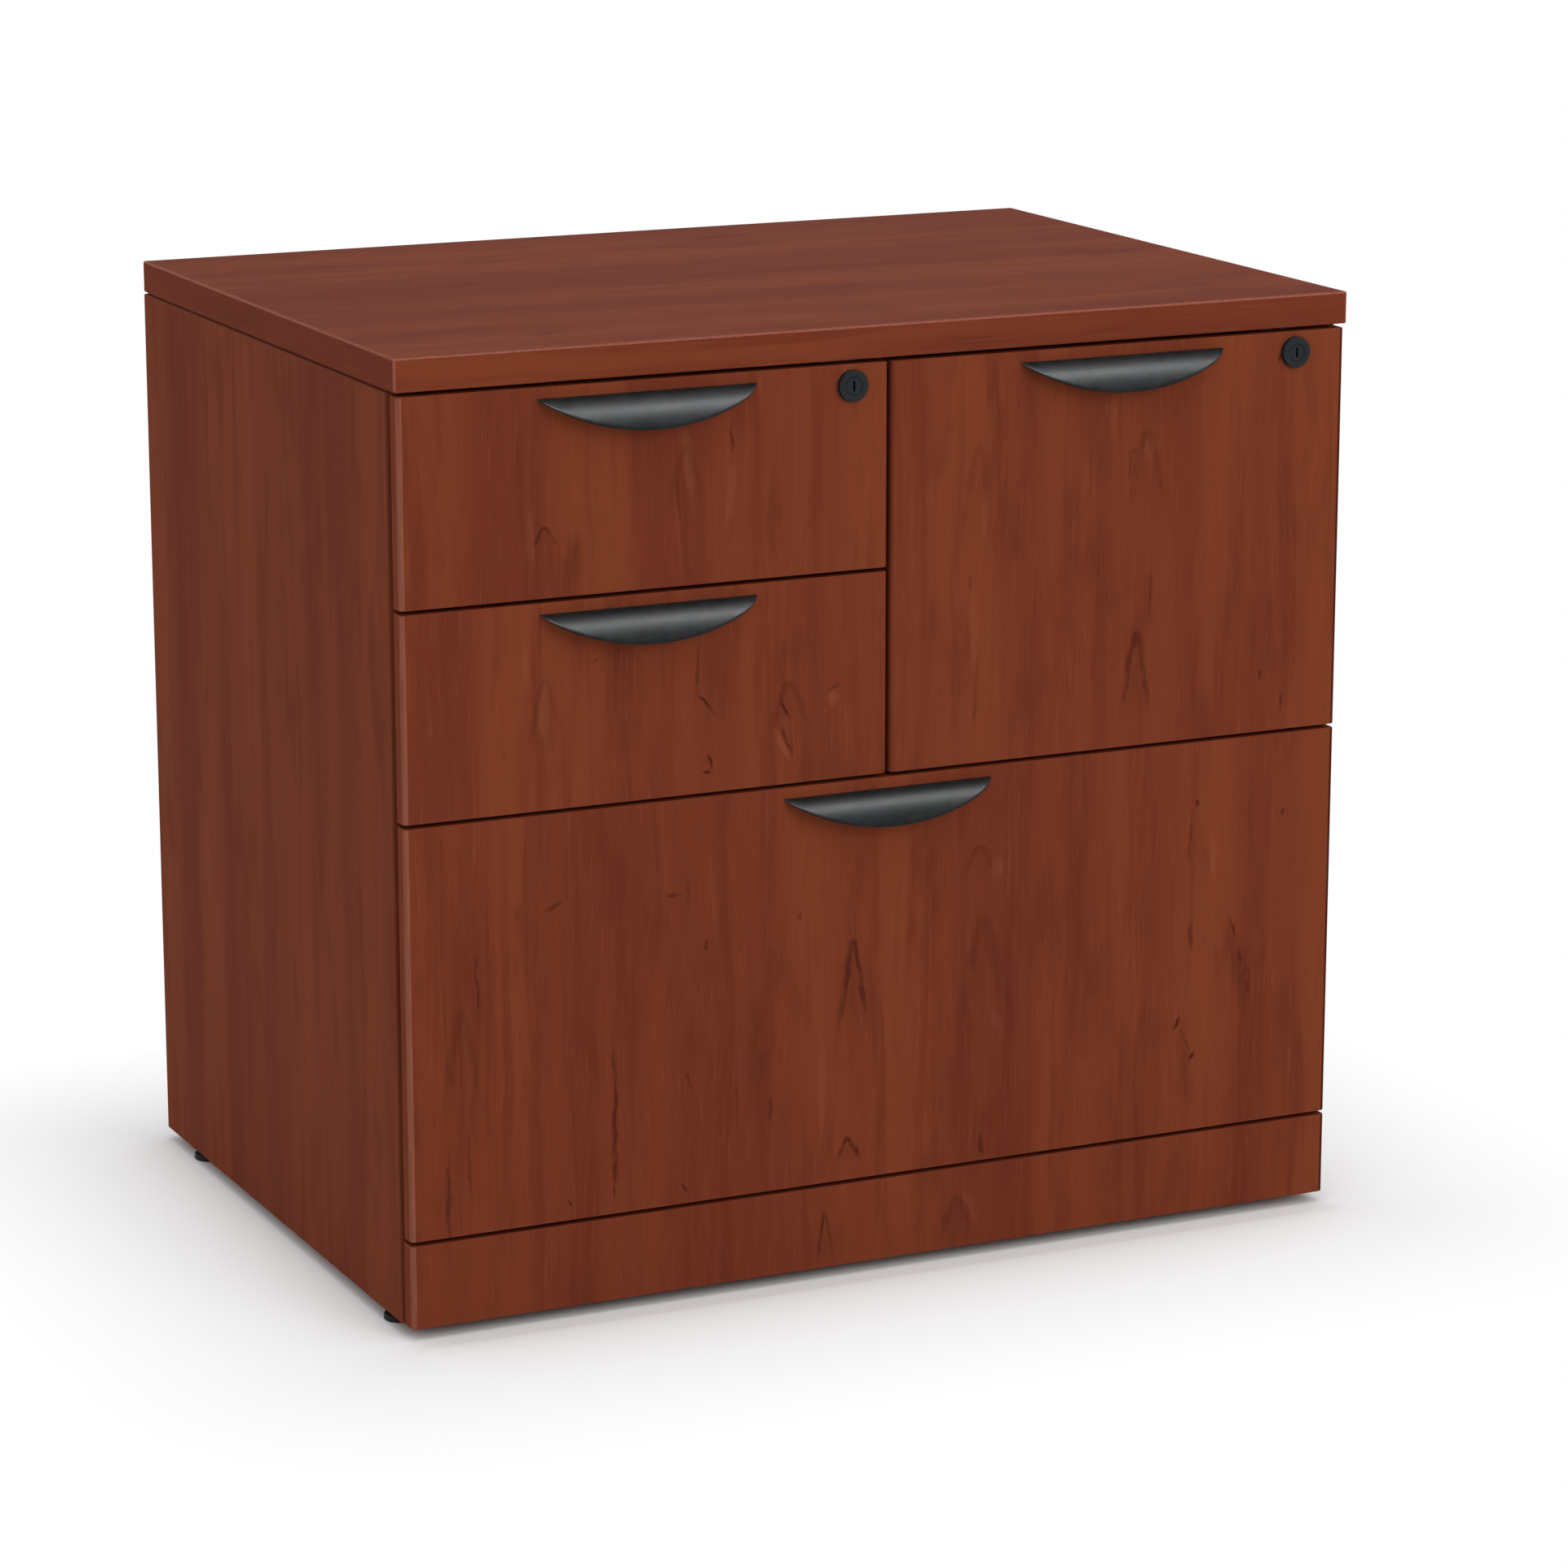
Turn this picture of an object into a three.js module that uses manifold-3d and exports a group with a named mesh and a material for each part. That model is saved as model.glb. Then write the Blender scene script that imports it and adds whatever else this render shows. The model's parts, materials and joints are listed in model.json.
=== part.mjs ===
// Lateral filing cabinet: two box drawers, a file drawer and a wide lateral drawer in a laminate case.
// Millimetres. +Z is up, the front faces -Y, and the origin is on the floor under the middle of the cabinet.
import * as THREE from "three";
import { mergeVertices } from "three/addons/utils/BufferGeometryUtils.js";
import Module from "manifold-3d";

// Overall size
const CABINET_WIDTH = 787;
const CABINET_DEPTH = 559; // from the drawers' faces to the back edge of the top
const CABINET_HEIGHT = 737; // from the floor to the top's upper face

// Case boards
const TOP_THICKNESS = 25;
const TOP_EDGE_RADIUS = 2.5;
const SIDE_THICKNESS = 25;
const SIDE_EDGE_RADIUS = 1.2;
const BACK_THICKNESS = 16;
const BACK_RECESS = 3; // the back sits this far inside the sides' rear edges
const SHELF_THICKNESS = 19;
const BOTTOM_THICKNESS = 19;
const PARTITION_THICKNESS = 19;
const SEAT_GAP = 0.3; // between pieces that touch on the real cabinet

// Drawer fronts and kick plate
const FRONT_THICKNESS = 16;
const FRONT_EDGE_RADIUS = 2;
const FRONT_GAP = 3; // shadow gap between neighbouring fronts
const FRONT_END_INSET = 2; // the fronts' ends lie this far inside the sides' faces
const BUMPER_GAP = 2; // between a closed front and the case
const KICK_HEIGHT = 65;
const LATERAL_FRONT_HEIGHT = 315;

// Drawer boxes
const WALL_THICKNESS = 12;
const RUNNER_SPACE = 13; // on each side of a drawer box
const DRAWER_FLOOR_CLEARANCE = 7; // between a box and the board under it
const DRAWER_BACK_CLEARANCE = 24; // between a box and the back panel
const BOX_WALL_TOP_DROP = 36; // from a front's upper edge down to the walls' upper edge
const FILE_WALL_TOP_DROP = 44;
const DRAWER_BOTTOM_THICKNESS = 6;
const DRAWER_BOTTOM_RISE = 10; // from the walls' lower edge up to the bottom's groove
const GROOVE_DEPTH = 6;

// Runners, rolled steel channels that slide one inside the other
const BOX_RUNNER_HEIGHT = 35;
const FILE_RUNNER_HEIGHT = 45;
const RUNNER_SHEET = 1.5;
const RUNNER_BEND_RADIUS = 3;
const RUNNER_CLEARANCE = 0.4; // between nested members
const RUNNER_MOUTH = 2.5; // from the fixed member's flange tips to the drawer box
const RUNNER_RISE = 42; // from a box's lower edge up to the runner's middle line
const RUNNER_SETBACK = 2; // behind the case's front edges
const RUNNER_BACK_CLEARANCE = 20;
const RUNNER_SLOT_LENGTH = 9;
const RUNNER_SLOT_WIDTH = 4.5;
const RUNNER_SLOT_COUNT = 3;
const RUNNER_SLOT_END = 37; // from a member's end to its first and last screw slot

// Rails for hanging folders
const RAIL_SHEET = 1.5;
const RAIL_LEG = 11; // how far a rail's legs reach down both sides of a wall
const RAIL_BLADE_HEIGHT = 5;
const RAIL_BLADE_THICKNESS = 2;
const RAIL_CLEARANCE = 0.4;
const BAR_THICKNESS = 2.5;
const BAR_DROP = 15; // the bar's depth below the walls' upper edge
const BAR_BRIDGE = 3; // the strip over a wall's upper edge
const BAR_HOOK_DROP = 8;
const BAR_SPACING = 384; // legal-size folders hang between the two bars
const BAR_FRONT_SETBACK = 25; // from the front wall's inner face to the front bar

// Drawer pulls: a hood with a quarter-oval section, its straight edge on the front and an arched lip
const PULL_WIDTH = 175;
const PULL_DEPTH = 18; // from the front's face out to the lip
const PULL_DROP = 26; // from the straight edge down to the middle of the lip
const PULL_WALL = 2.5;
const PULL_TIP = 0.6; // the height of the hood's two tips
const PULL_TOP_MARGIN = 8.5; // below the front's upper edge
const PULL_BOSS_SPACING = 96;
const PULL_BOSS_RADIUS = 4;
const PULL_BOSS_DROP = 8.5; // from the straight edge down to the screw bosses' axis

// Locks: a barrel through the front, a keyed plug and a cam that turns up behind a strike
const LOCK_DROP = 16; // from the front's upper edge down to the lock's axis
const BOX_LOCK_INSET = 30; // from the front's right end to the lock's axis
const FILE_LOCK_INSET = 44;
const LOCK_HEAD_RADIUS = 12;
const LOCK_HEAD_PROUD = 4.5;
const LOCK_HEAD_CHAMFER = 1.2;
const LOCK_BARREL_RADIUS = 9;
const LOCK_BARREL_TAIL = 10; // behind the front
const LOCK_PLUG_RADIUS = 6.5;
const LOCK_PLUG_RECESS = 0.6; // the plug's face behind the head's face
const LOCK_CLEARANCE = 0.3;
const KEYWAY_WIDTH = 1.6;
const KEYWAY_HEIGHT = 8;
const KEYWAY_DEPTH = 9;
const SPIGOT_SIDE = 5; // square end of the plug that carries the cam
const CAM_THICKNESS = 2.5;
const CAM_HALF_WIDTH = 6;
const CAM_TOP_CLEARANCE = 2; // between the raised cam's tip and the top
const STRIKE_WIDTH = 30;
const STRIKE_SHEET = 2;
const STRIKE_FLANGE = 8;
const STRIKE_DROP = 9;
const STRIKE_CLEARANCE = 0.4; // between the strike and the raised cam

// Levelling feet
const FOOT_HEIGHT = 9; // from the floor to the sides' lower edges
const FOOT_RADIUS = 12;
const FOOT_PAD_HEIGHT = 5;
const FOOT_CHAMFER = 1;
const FOOT_NECK_RADIUS = 7.5;
const FOOT_STEM_RADIUS = 4;
const FOOT_STEM_LENGTH = 32; // inside the side panel
const FOOT_CLEARANCE = 0.3;
const FOOT_FRONT_SETBACK = 37; // behind the side's front edge
const FOOT_BACK_SETBACK = 68; // ahead of the side's rear edge

// Fineness of round forms
const EDGE_STEPS = 3;
const HOOD_STEPS = 9;
const LIP_STEPS = 24;
const BEND_STEPS = 2;
const ROUND_STEPS = 24;
const SMALL_ROUND_STEPS = 16;
const SLOT_STEPS = 4;
const CUT_OVERRUN = 1; // how far a cutting solid runs past the face that it cuts
const MERGE_DISTANCE = 1e-4;

// Planes that the pieces share
const frontFaceY = (PULL_DEPTH - CABINET_DEPTH) / 2;
const frontBackY = frontFaceY + FRONT_THICKNESS;
const caseFrontY = frontBackY + BUMPER_GAP;
const caseBackY = frontFaceY + CABINET_DEPTH;
const backInnerY = caseBackY - BACK_RECESS - BACK_THICKNESS;
const sideInnerX = CABINET_WIDTH / 2 - SIDE_THICKNESS;
const frontEndX = CABINET_WIDTH / 2 - FRONT_END_INSET;
const topUndersideZ = CABINET_HEIGHT - TOP_THICKNESS;
const caseTopZ = topUndersideZ - SEAT_GAP;
const kickTopZ = FOOT_HEIGHT + KICK_HEIGHT;
const lateralFrontBottomZ = kickTopZ + FRONT_GAP;
const lateralFrontTopZ = lateralFrontBottomZ + LATERAL_FRONT_HEIGHT;
const upperFrontsBottomZ = lateralFrontTopZ + FRONT_GAP;
const upperFrontsTopZ = topUndersideZ - FRONT_GAP;
const boxFrontHeight = (upperFrontsTopZ - upperFrontsBottomZ - FRONT_GAP) / 2;
const bottomMiddleZ = kickTopZ + FRONT_GAP / 2;
const shelfMiddleZ = lateralFrontTopZ + FRONT_GAP / 2;
const bottomTopZ = bottomMiddleZ + BOTTOM_THICKNESS / 2;
const shelfTopZ = shelfMiddleZ + SHELF_THICKNESS / 2;
const wallsFrontY = frontBackY + SEAT_GAP;
const wallsLength = backInnerY - DRAWER_BACK_CLEARANCE - wallsFrontY;
const runnerFrontY = caseFrontY + RUNNER_SETBACK;
const runnerLength = backInnerY - RUNNER_BACK_CLEARANCE - runnerFrontY;

// Finishes
const finishes = {
  topLaminate: { color: 0x7a4233, roughness: 0.42, metalness: 0 },
  frontLaminate: { color: 0x733524, roughness: 0.42, metalness: 0 },
  sideLaminate: { color: 0x63302a, roughness: 0.45, metalness: 0 },
  birchPlywood: { color: 0xc9a877, roughness: 0.6, metalness: 0 },
  hardboard: { color: 0xb08a5c, roughness: 0.7, metalness: 0 },
  zincSteel: { color: 0xa9acb0, roughness: 0.35, metalness: 1 },
  blackPull: { color: 0x1b1c1f, roughness: 0.35, metalness: 0.2 },
  lockMetal: { color: 0x2b2e31, roughness: 0.4, metalness: 0.6 },
  blackPlastic: { color: 0x151515, roughness: 0.55, metalness: 0 },
};
const materials = Object.fromEntries(
  Object.entries(finishes).map(([name, values]) => [name, new THREE.MeshStandardMaterial(values)]),
);

// Solids for cutting and joining
const wasm = await Module();
wasm.setup();

function toSolid(geometry) {
  const bare = geometry.clone();
  bare.deleteAttribute("normal");
  bare.deleteAttribute("uv");
  const merged = mergeVertices(bare, MERGE_DISTANCE);
  const corners = merged.index.array;
  const kept = [];
  for (let i = 0; i < corners.length; i += 3) {
    const [a, b, c] = corners.slice(i, i + 3);
    if (a !== b && b !== c && c !== a) kept.push(a, b, c);
  }
  const mesh = new wasm.Mesh({
    numProp: 3,
    vertProperties: merged.attributes.position.array,
    triVerts: new Uint32Array(kept),
  });
  return new wasm.Manifold(mesh);
}

function toGeometry(solid) {
  const { vertProperties, triVerts } = solid.getMesh();
  const shared = new THREE.BufferGeometry();
  shared.setAttribute("position", new THREE.BufferAttribute(vertProperties, 3));
  shared.setIndex(new THREE.BufferAttribute(triVerts, 1));
  const geometry = shared.toNonIndexed();
  geometry.computeVertexNormals();
  return geometry;
}

function outline(points) {
  return new THREE.Shape(points.map(([x, y]) => new THREE.Vector2(x, y)));
}

// An outline drawn in X and Z, run along Y from y = 0 to y = length.
function extrudeAlongY(shape, length, curveSegments = SLOT_STEPS) {
  const geometry = new THREE.ExtrudeGeometry(shape, { depth: length, bevelEnabled: false, curveSegments });
  return geometry.rotateX(Math.PI / 2).translate(0, length, 0);
}

// An outline drawn in Y and Z, run along X with its middle at x = 0.
function extrudeAlongX(shape, length, curveSegments = SLOT_STEPS) {
  const geometry = new THREE.ExtrudeGeometry(shape, { depth: length, bevelEnabled: false, curveSegments });
  const turn = new THREE.Matrix4().makeBasis(
    new THREE.Vector3(0, 1, 0),
    new THREE.Vector3(0, 0, 1),
    new THREE.Vector3(1, 0, 0),
  );
  return geometry.translate(0, 0, -length / 2).applyMatrix4(turn);
}

// A cylinder along Y from y = 0 to y = length.
function rodAlongY(radius, length, steps) {
  return new THREE.CylinderGeometry(radius, radius, length, steps).translate(0, length / 2, 0);
}

// An edge-banded board with its thickness along Z, its long edges rounded and its middle at the origin.
function board(width, length, thickness, edgeRadius) {
  const plan = outline([
    [-width / 2, -length / 2],
    [width / 2, -length / 2],
    [width / 2, length / 2],
    [-width / 2, length / 2],
  ]);
  const geometry = new THREE.ExtrudeGeometry(plan, {
    depth: thickness - 2 * edgeRadius,
    bevelThickness: edgeRadius,
    bevelSize: edgeRadius,
    bevelOffset: -edgeRadius,
    bevelSegments: EDGE_STEPS,
  });
  return geometry.center();
}

function addPiece(parent, name, geometry, material, x = 0, y = 0, z = 0) {
  const mesh = new THREE.Mesh(geometry, material);
  mesh.name = name;
  mesh.position.set(x, y, z);
  parent.add(mesh);
  return mesh;
}

const cabinet = new THREE.Group();

// Case: top, sides, back, bottom, shelf, partition and kick plate
function addCase() {
  const depth = caseBackY - caseFrontY;
  const innerDepth = backInnerY - SEAT_GAP - caseFrontY;
  const innerWidth = 2 * (sideInnerX - SEAT_GAP);
  const middleY = caseFrontY + depth / 2;
  const innerMiddleY = caseFrontY + innerDepth / 2;

  const top = board(CABINET_WIDTH, CABINET_DEPTH, TOP_THICKNESS, TOP_EDGE_RADIUS);
  const topY = frontFaceY + CABINET_DEPTH / 2;
  addPiece(cabinet, "top_panel", top, materials.topLaminate, 0, topY, topUndersideZ + TOP_THICKNESS / 2);

  const sideHeight = caseTopZ - FOOT_HEIGHT;
  const sideZ = FOOT_HEIGHT + sideHeight / 2;
  const sideX = sideInnerX + SIDE_THICKNESS / 2;
  for (const [hand, direction] of [["left", -1], ["right", 1]]) {
    const name = `side_panel_${hand}`;
    const plain = board(sideHeight, depth, SIDE_THICKNESS, SIDE_EDGE_RADIUS).rotateY(Math.PI / 2);
    let side = toSolid(plain);
    for (const footY of [FOOT_FRONT_SETBACK, depth - FOOT_BACK_SETBACK]) {
      const holeLength = FOOT_STEM_LENGTH + FOOT_CLEARANCE + CUT_OVERRUN;
      const hole = rodAlongY(FOOT_STEM_RADIUS + FOOT_CLEARANCE, holeLength, SMALL_ROUND_STEPS);
      hole.rotateX(Math.PI / 2).translate(0, footY - depth / 2, -sideHeight / 2 - CUT_OVERRUN);
      side = side.subtract(toSolid(hole));
    }
    addPiece(cabinet, name, toGeometry(side), materials.sideLaminate, direction * sideX, middleY, sideZ);
  }

  const back = new THREE.BoxGeometry(innerWidth, BACK_THICKNESS, sideHeight);
  addPiece(cabinet, "back_panel", back, materials.sideLaminate, 0, backInnerY + BACK_THICKNESS / 2, sideZ);

  const bottom = new THREE.BoxGeometry(innerWidth, innerDepth, BOTTOM_THICKNESS);
  addPiece(cabinet, "bottom_panel", bottom, materials.sideLaminate, 0, innerMiddleY, bottomMiddleZ);

  const shelf = new THREE.BoxGeometry(innerWidth, innerDepth, SHELF_THICKNESS);
  addPiece(cabinet, "middle_shelf", shelf, materials.sideLaminate, 0, innerMiddleY, shelfMiddleZ);

  const partitionHeight = caseTopZ - shelfTopZ - SEAT_GAP;
  const partition = new THREE.BoxGeometry(PARTITION_THICKNESS, innerDepth, partitionHeight);
  const partitionZ = caseTopZ - partitionHeight / 2;
  addPiece(cabinet, "partition", partition, materials.sideLaminate, 0, innerMiddleY, partitionZ);

  const kickThickness = FRONT_THICKNESS + BUMPER_GAP - SEAT_GAP;
  const kick = board(2 * frontEndX, KICK_HEIGHT, kickThickness, FRONT_EDGE_RADIUS).rotateX(Math.PI / 2);
  const kickY = frontFaceY + kickThickness / 2;
  addPiece(cabinet, "kick_plate", kick, materials.frontLaminate, 0, kickY, FOOT_HEIGHT + KICK_HEIGHT / 2);
}

// Levelling feet: a round pad and neck, turned in one with the screw stem that runs up into the side panel
function addFeet() {
  const neckTop = FOOT_HEIGHT - SEAT_GAP;
  const stemTop = FOOT_HEIGHT + FOOT_STEM_LENGTH;
  const profile = [
    [0, 0],
    [FOOT_RADIUS - FOOT_CHAMFER, 0],
    [FOOT_RADIUS, FOOT_CHAMFER],
    [FOOT_RADIUS, FOOT_PAD_HEIGHT - FOOT_CHAMFER],
    [FOOT_RADIUS - FOOT_CHAMFER, FOOT_PAD_HEIGHT],
    [FOOT_NECK_RADIUS, FOOT_PAD_HEIGHT],
    [FOOT_NECK_RADIUS, neckTop],
    [FOOT_STEM_RADIUS, neckTop],
    [FOOT_STEM_RADIUS, stemTop],
    [0, stemTop],
  ].map(([radius, height]) => new THREE.Vector2(radius, height));
  const footX = sideInnerX + SIDE_THICKNESS / 2;
  const rows = [["front", caseFrontY + FOOT_FRONT_SETBACK], ["rear", caseBackY - FOOT_BACK_SETBACK]];
  for (const [row, footY] of rows) {
    for (const [hand, direction] of [["left", -1], ["right", 1]]) {
      const name = `levelling_foot_${row}_${hand}`;
      const foot = new THREE.LatheGeometry(profile, SMALL_ROUND_STEPS).rotateX(Math.PI / 2);
      addPiece(cabinet, name, foot, materials.blackPlastic, direction * footX, footY, 0);
    }
  }
}

// A drawer's four glued walls, grooved all round for the bottom. Middle of the lower edges at the origin.
function drawerWalls(width, height) {
  const insideWidth = width - 2 * WALL_THICKNESS;
  const insideLength = wallsLength - 2 * WALL_THICKNESS;
  const outer = new THREE.BoxGeometry(width, wallsLength, height);
  const inside = new THREE.BoxGeometry(insideWidth, insideLength, height + 2 * CUT_OVERRUN);
  const grooveWidth = insideWidth + 2 * GROOVE_DEPTH;
  const grooveLength = insideLength + 2 * GROOVE_DEPTH;
  const grooveHeight = DRAWER_BOTTOM_THICKNESS + 2 * SEAT_GAP;
  const groove = new THREE.BoxGeometry(grooveWidth, grooveLength, grooveHeight);
  groove.translate(0, 0, DRAWER_BOTTOM_RISE + grooveHeight / 2 - height / 2);
  const walls = toSolid(outer).subtract(toSolid(inside)).subtract(toSolid(groove));
  return toGeometry(walls).translate(0, 0, height / 2);
}

function drawerBottom(width) {
  const reach = 2 * (GROOVE_DEPTH - SEAT_GAP - WALL_THICKNESS);
  return new THREE.BoxGeometry(width + reach, wallsLength + reach, DRAWER_BOTTOM_THICKNESS);
}

// A drawer front, with a hole for the lock's barrel where it has one.
function drawerFront(width, height, lockX) {
  const plain = board(width, height, FRONT_THICKNESS, FRONT_EDGE_RADIUS).rotateX(Math.PI / 2);
  if (lockX === undefined) return plain;
  const length = FRONT_THICKNESS + 2 * CUT_OVERRUN;
  const hole = rodAlongY(LOCK_BARREL_RADIUS + LOCK_CLEARANCE, length, ROUND_STEPS);
  hole.translate(lockX, -length / 2, height / 2 - LOCK_DROP);
  return toGeometry(toSolid(plain).subtract(toSolid(hole)));
}

// The hood of a pull. The front's face is y = 0 and the hood's straight upper edge is z = 0.
function pull() {
  const length = PULL_WIDTH + 2 * CUT_OVERRUN;
  const seatAngle = Math.PI / 2 + Math.asin(SEAT_GAP / PULL_DEPTH);
  const outside = new THREE.Shape();
  outside.moveTo(-SEAT_GAP, -PULL_DROP);
  outside.absellipse(0, -PULL_DROP, PULL_DEPTH, PULL_DROP, seatAngle, Math.PI, false);
  const full = toSolid(extrudeAlongX(outside, length, HOOD_STEPS));
  const inside = new THREE.Shape();
  inside.absellipse(0, -PULL_DROP, PULL_DEPTH - PULL_WALL, PULL_DROP - PULL_WALL, 0, 2 * Math.PI, false);
  const hollow = extrudeAlongX(inside, length + 2 * CUT_OVERRUN, 2 * HOOD_STEPS);
  let hood = full.subtract(toSolid(hollow));
  for (const side of [-1, 1]) {
    const boss = rodAlongY(PULL_BOSS_RADIUS, PULL_DEPTH, SMALL_ROUND_STEPS);
    boss.translate(side * PULL_BOSS_SPACING / 2, -PULL_DEPTH - SEAT_GAP, -PULL_BOSS_DROP);
    hood = hood.add(full.intersect(toSolid(boss)));
  }
  const sagitta = PULL_DROP - PULL_TIP;
  const lipRadius = ((PULL_WIDTH / 2) ** 2 + sagitta ** 2) / (2 * sagitta);
  const halfAngle = Math.asin(PULL_WIDTH / 2 / lipRadius);
  const face = new THREE.Shape();
  face.moveTo(PULL_WIDTH / 2, CUT_OVERRUN);
  face.lineTo(-PULL_WIDTH / 2, CUT_OVERRUN);
  face.lineTo(-PULL_WIDTH / 2, -PULL_TIP);
  face.absarc(0, lipRadius - PULL_DROP, lipRadius, -Math.PI / 2 - halfAngle, -Math.PI / 2 + halfAngle, false);
  const trim = extrudeAlongY(face, PULL_DEPTH + 2 * CUT_OVERRUN, LIP_STEPS);
  trim.translate(0, -PULL_DEPTH - CUT_OVERRUN, 0);
  return toGeometry(hood.intersect(toSolid(trim)));
}

// A rolled channel that opens towards +X, with its web on x = 0 and its screw slots through the web.
function channel(height, reach, slotted) {
  const half = height / 2;
  const bend = RUNNER_BEND_RADIUS;
  const hollow = RUNNER_BEND_RADIUS - RUNNER_SHEET;
  const section = new THREE.Shape();
  section.moveTo(reach, -half);
  section.lineTo(reach, -half + RUNNER_SHEET);
  section.absarc(bend, -half + bend, hollow, -Math.PI / 2, -Math.PI, true);
  section.absarc(bend, half - bend, hollow, Math.PI, Math.PI / 2, true);
  section.lineTo(reach, half - RUNNER_SHEET);
  section.lineTo(reach, half);
  section.absarc(bend, half - bend, bend, Math.PI / 2, Math.PI, false);
  section.absarc(bend, -half + bend, bend, Math.PI, Math.PI * 1.5, false);
  let member = toSolid(extrudeAlongY(section, runnerLength, BEND_STEPS));
  if (!slotted) return toGeometry(member);
  const slotRun = RUNNER_SLOT_LENGTH - RUNNER_SLOT_WIDTH;
  const slotStep = (runnerLength - 2 * RUNNER_SLOT_END) / (RUNNER_SLOT_COUNT - 1);
  const slotShape = new THREE.Shape();
  slotShape.absarc(-slotRun / 2, 0, RUNNER_SLOT_WIDTH / 2, Math.PI / 2, Math.PI * 1.5, false);
  slotShape.absarc(slotRun / 2, 0, RUNNER_SLOT_WIDTH / 2, -Math.PI / 2, Math.PI / 2, false);
  for (let i = 0; i < RUNNER_SLOT_COUNT; i += 1) {
    const slot = extrudeAlongX(slotShape, 2 * (RUNNER_SHEET + CUT_OVERRUN), SLOT_STEPS);
    member = member.subtract(toSolid(slot.translate(0, RUNNER_SLOT_END + i * slotStep, 0)));
  }
  return toGeometry(member);
}

// One pair of runners for a drawer. The fixed member seats on the case, the sliding one on the drawer box,
// and a full-extension pair has a middle member between them.
function addRunners(drawer, bay, height, fullExtension, z) {
  const reach = RUNNER_SPACE - RUNNER_MOUTH - SEAT_GAP;
  const nest = RUNNER_SHEET + RUNNER_CLEARANCE;
  const middleStart = SEAT_GAP + nest;
  const slidingStart = (fullExtension ? middleStart : SEAT_GAP) + RUNNER_BEND_RADIUS;
  const slidingHeight = fullExtension ? height - 4 * nest : height - 2 * nest;
  const slidingWeb = RUNNER_SPACE - SEAT_GAP;
  for (const [hand, wallX, direction] of [["left", bay.minX, 1], ["right", bay.maxX, -1]]) {
    const place = (kind, geometry, offset, facesDrawer) => {
      const name = `${drawer}_runner_${kind}_${hand}`;
      const x = wallX + direction * offset;
      const member = addPiece(cabinet, name, geometry, materials.zincSteel, x, runnerFrontY, z);
      member.rotation.y = facesDrawer === (direction === 1) ? 0 : Math.PI;
    };
    place("fixed", channel(height, reach, true), SEAT_GAP, true);
    if (fullExtension) place("middle", channel(height - 2 * nest, reach - nest, false), middleStart, true);
    place("sliding", channel(slidingHeight, slidingWeb - slidingStart, true), slidingWeb, false);
  }
}

// A cap over a side wall of the file drawer, with the upright blade that the folders hang on.
function folderRail() {
  const inner = WALL_THICKNESS / 2 + RAIL_CLEARANCE;
  const outer = inner + RAIL_SHEET;
  const plate = RAIL_CLEARANCE + RAIL_SHEET;
  const section = outline([
    [-outer, -RAIL_LEG],
    [-inner, -RAIL_LEG],
    [-inner, RAIL_CLEARANCE],
    [inner, RAIL_CLEARANCE],
    [inner, -RAIL_LEG],
    [outer, -RAIL_LEG],
    [outer, plate + RAIL_BLADE_HEIGHT],
    [outer - RAIL_BLADE_THICKNESS, plate + RAIL_BLADE_HEIGHT],
    [outer - RAIL_BLADE_THICKNESS, plate],
    [-outer, plate],
  ]);
  const length = wallsLength - 2 * (WALL_THICKNESS + RAIL_CLEARANCE);
  return extrudeAlongY(section, length).translate(0, -length / 2, 0);
}

// A flat bar across the lateral drawer, hooked over both side walls. The walls' upper edge is z = 0.
function folderBar(width) {
  const bodyX = width / 2 - WALL_THICKNESS - RAIL_CLEARANCE;
  const hookX = width / 2 + RAIL_CLEARANCE;
  const endX = hookX + BAR_THICKNESS;
  const bridgeZ = RAIL_CLEARANCE + BAR_BRIDGE;
  const section = outline([
    [-bodyX, -BAR_DROP],
    [bodyX, -BAR_DROP],
    [bodyX, RAIL_CLEARANCE],
    [hookX, RAIL_CLEARANCE],
    [hookX, -BAR_HOOK_DROP],
    [endX, -BAR_HOOK_DROP],
    [endX, bridgeZ],
    [-endX, bridgeZ],
    [-endX, -BAR_HOOK_DROP],
    [-hookX, -BAR_HOOK_DROP],
    [-hookX, RAIL_CLEARANCE],
    [-bodyX, RAIL_CLEARANCE],
  ]);
  return extrudeAlongY(section, BAR_THICKNESS);
}

// Lock pieces turn about Y. The front's face is y = 0 and the lock's axis is x = z = 0.
const barrelEndY = FRONT_THICKNESS + LOCK_BARREL_TAIL;
const camFrontY = barrelEndY + STRIKE_CLEARANCE;
const camReach = FRONT_GAP + LOCK_DROP - CAM_TOP_CLEARANCE;

function lockBarrel() {
  const bore = LOCK_PLUG_RADIUS + LOCK_CLEARANCE;
  const profile = [
    [bore, barrelEndY],
    [bore, -LOCK_HEAD_PROUD],
    [LOCK_HEAD_RADIUS - LOCK_HEAD_CHAMFER, -LOCK_HEAD_PROUD],
    [LOCK_HEAD_RADIUS, LOCK_HEAD_CHAMFER - LOCK_HEAD_PROUD],
    [LOCK_HEAD_RADIUS, -SEAT_GAP],
    [LOCK_BARREL_RADIUS, -SEAT_GAP],
    [LOCK_BARREL_RADIUS, barrelEndY],
    [bore, barrelEndY],
  ].map(([radius, y]) => new THREE.Vector2(radius, y));
  return new THREE.LatheGeometry(profile, ROUND_STEPS);
}

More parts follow.
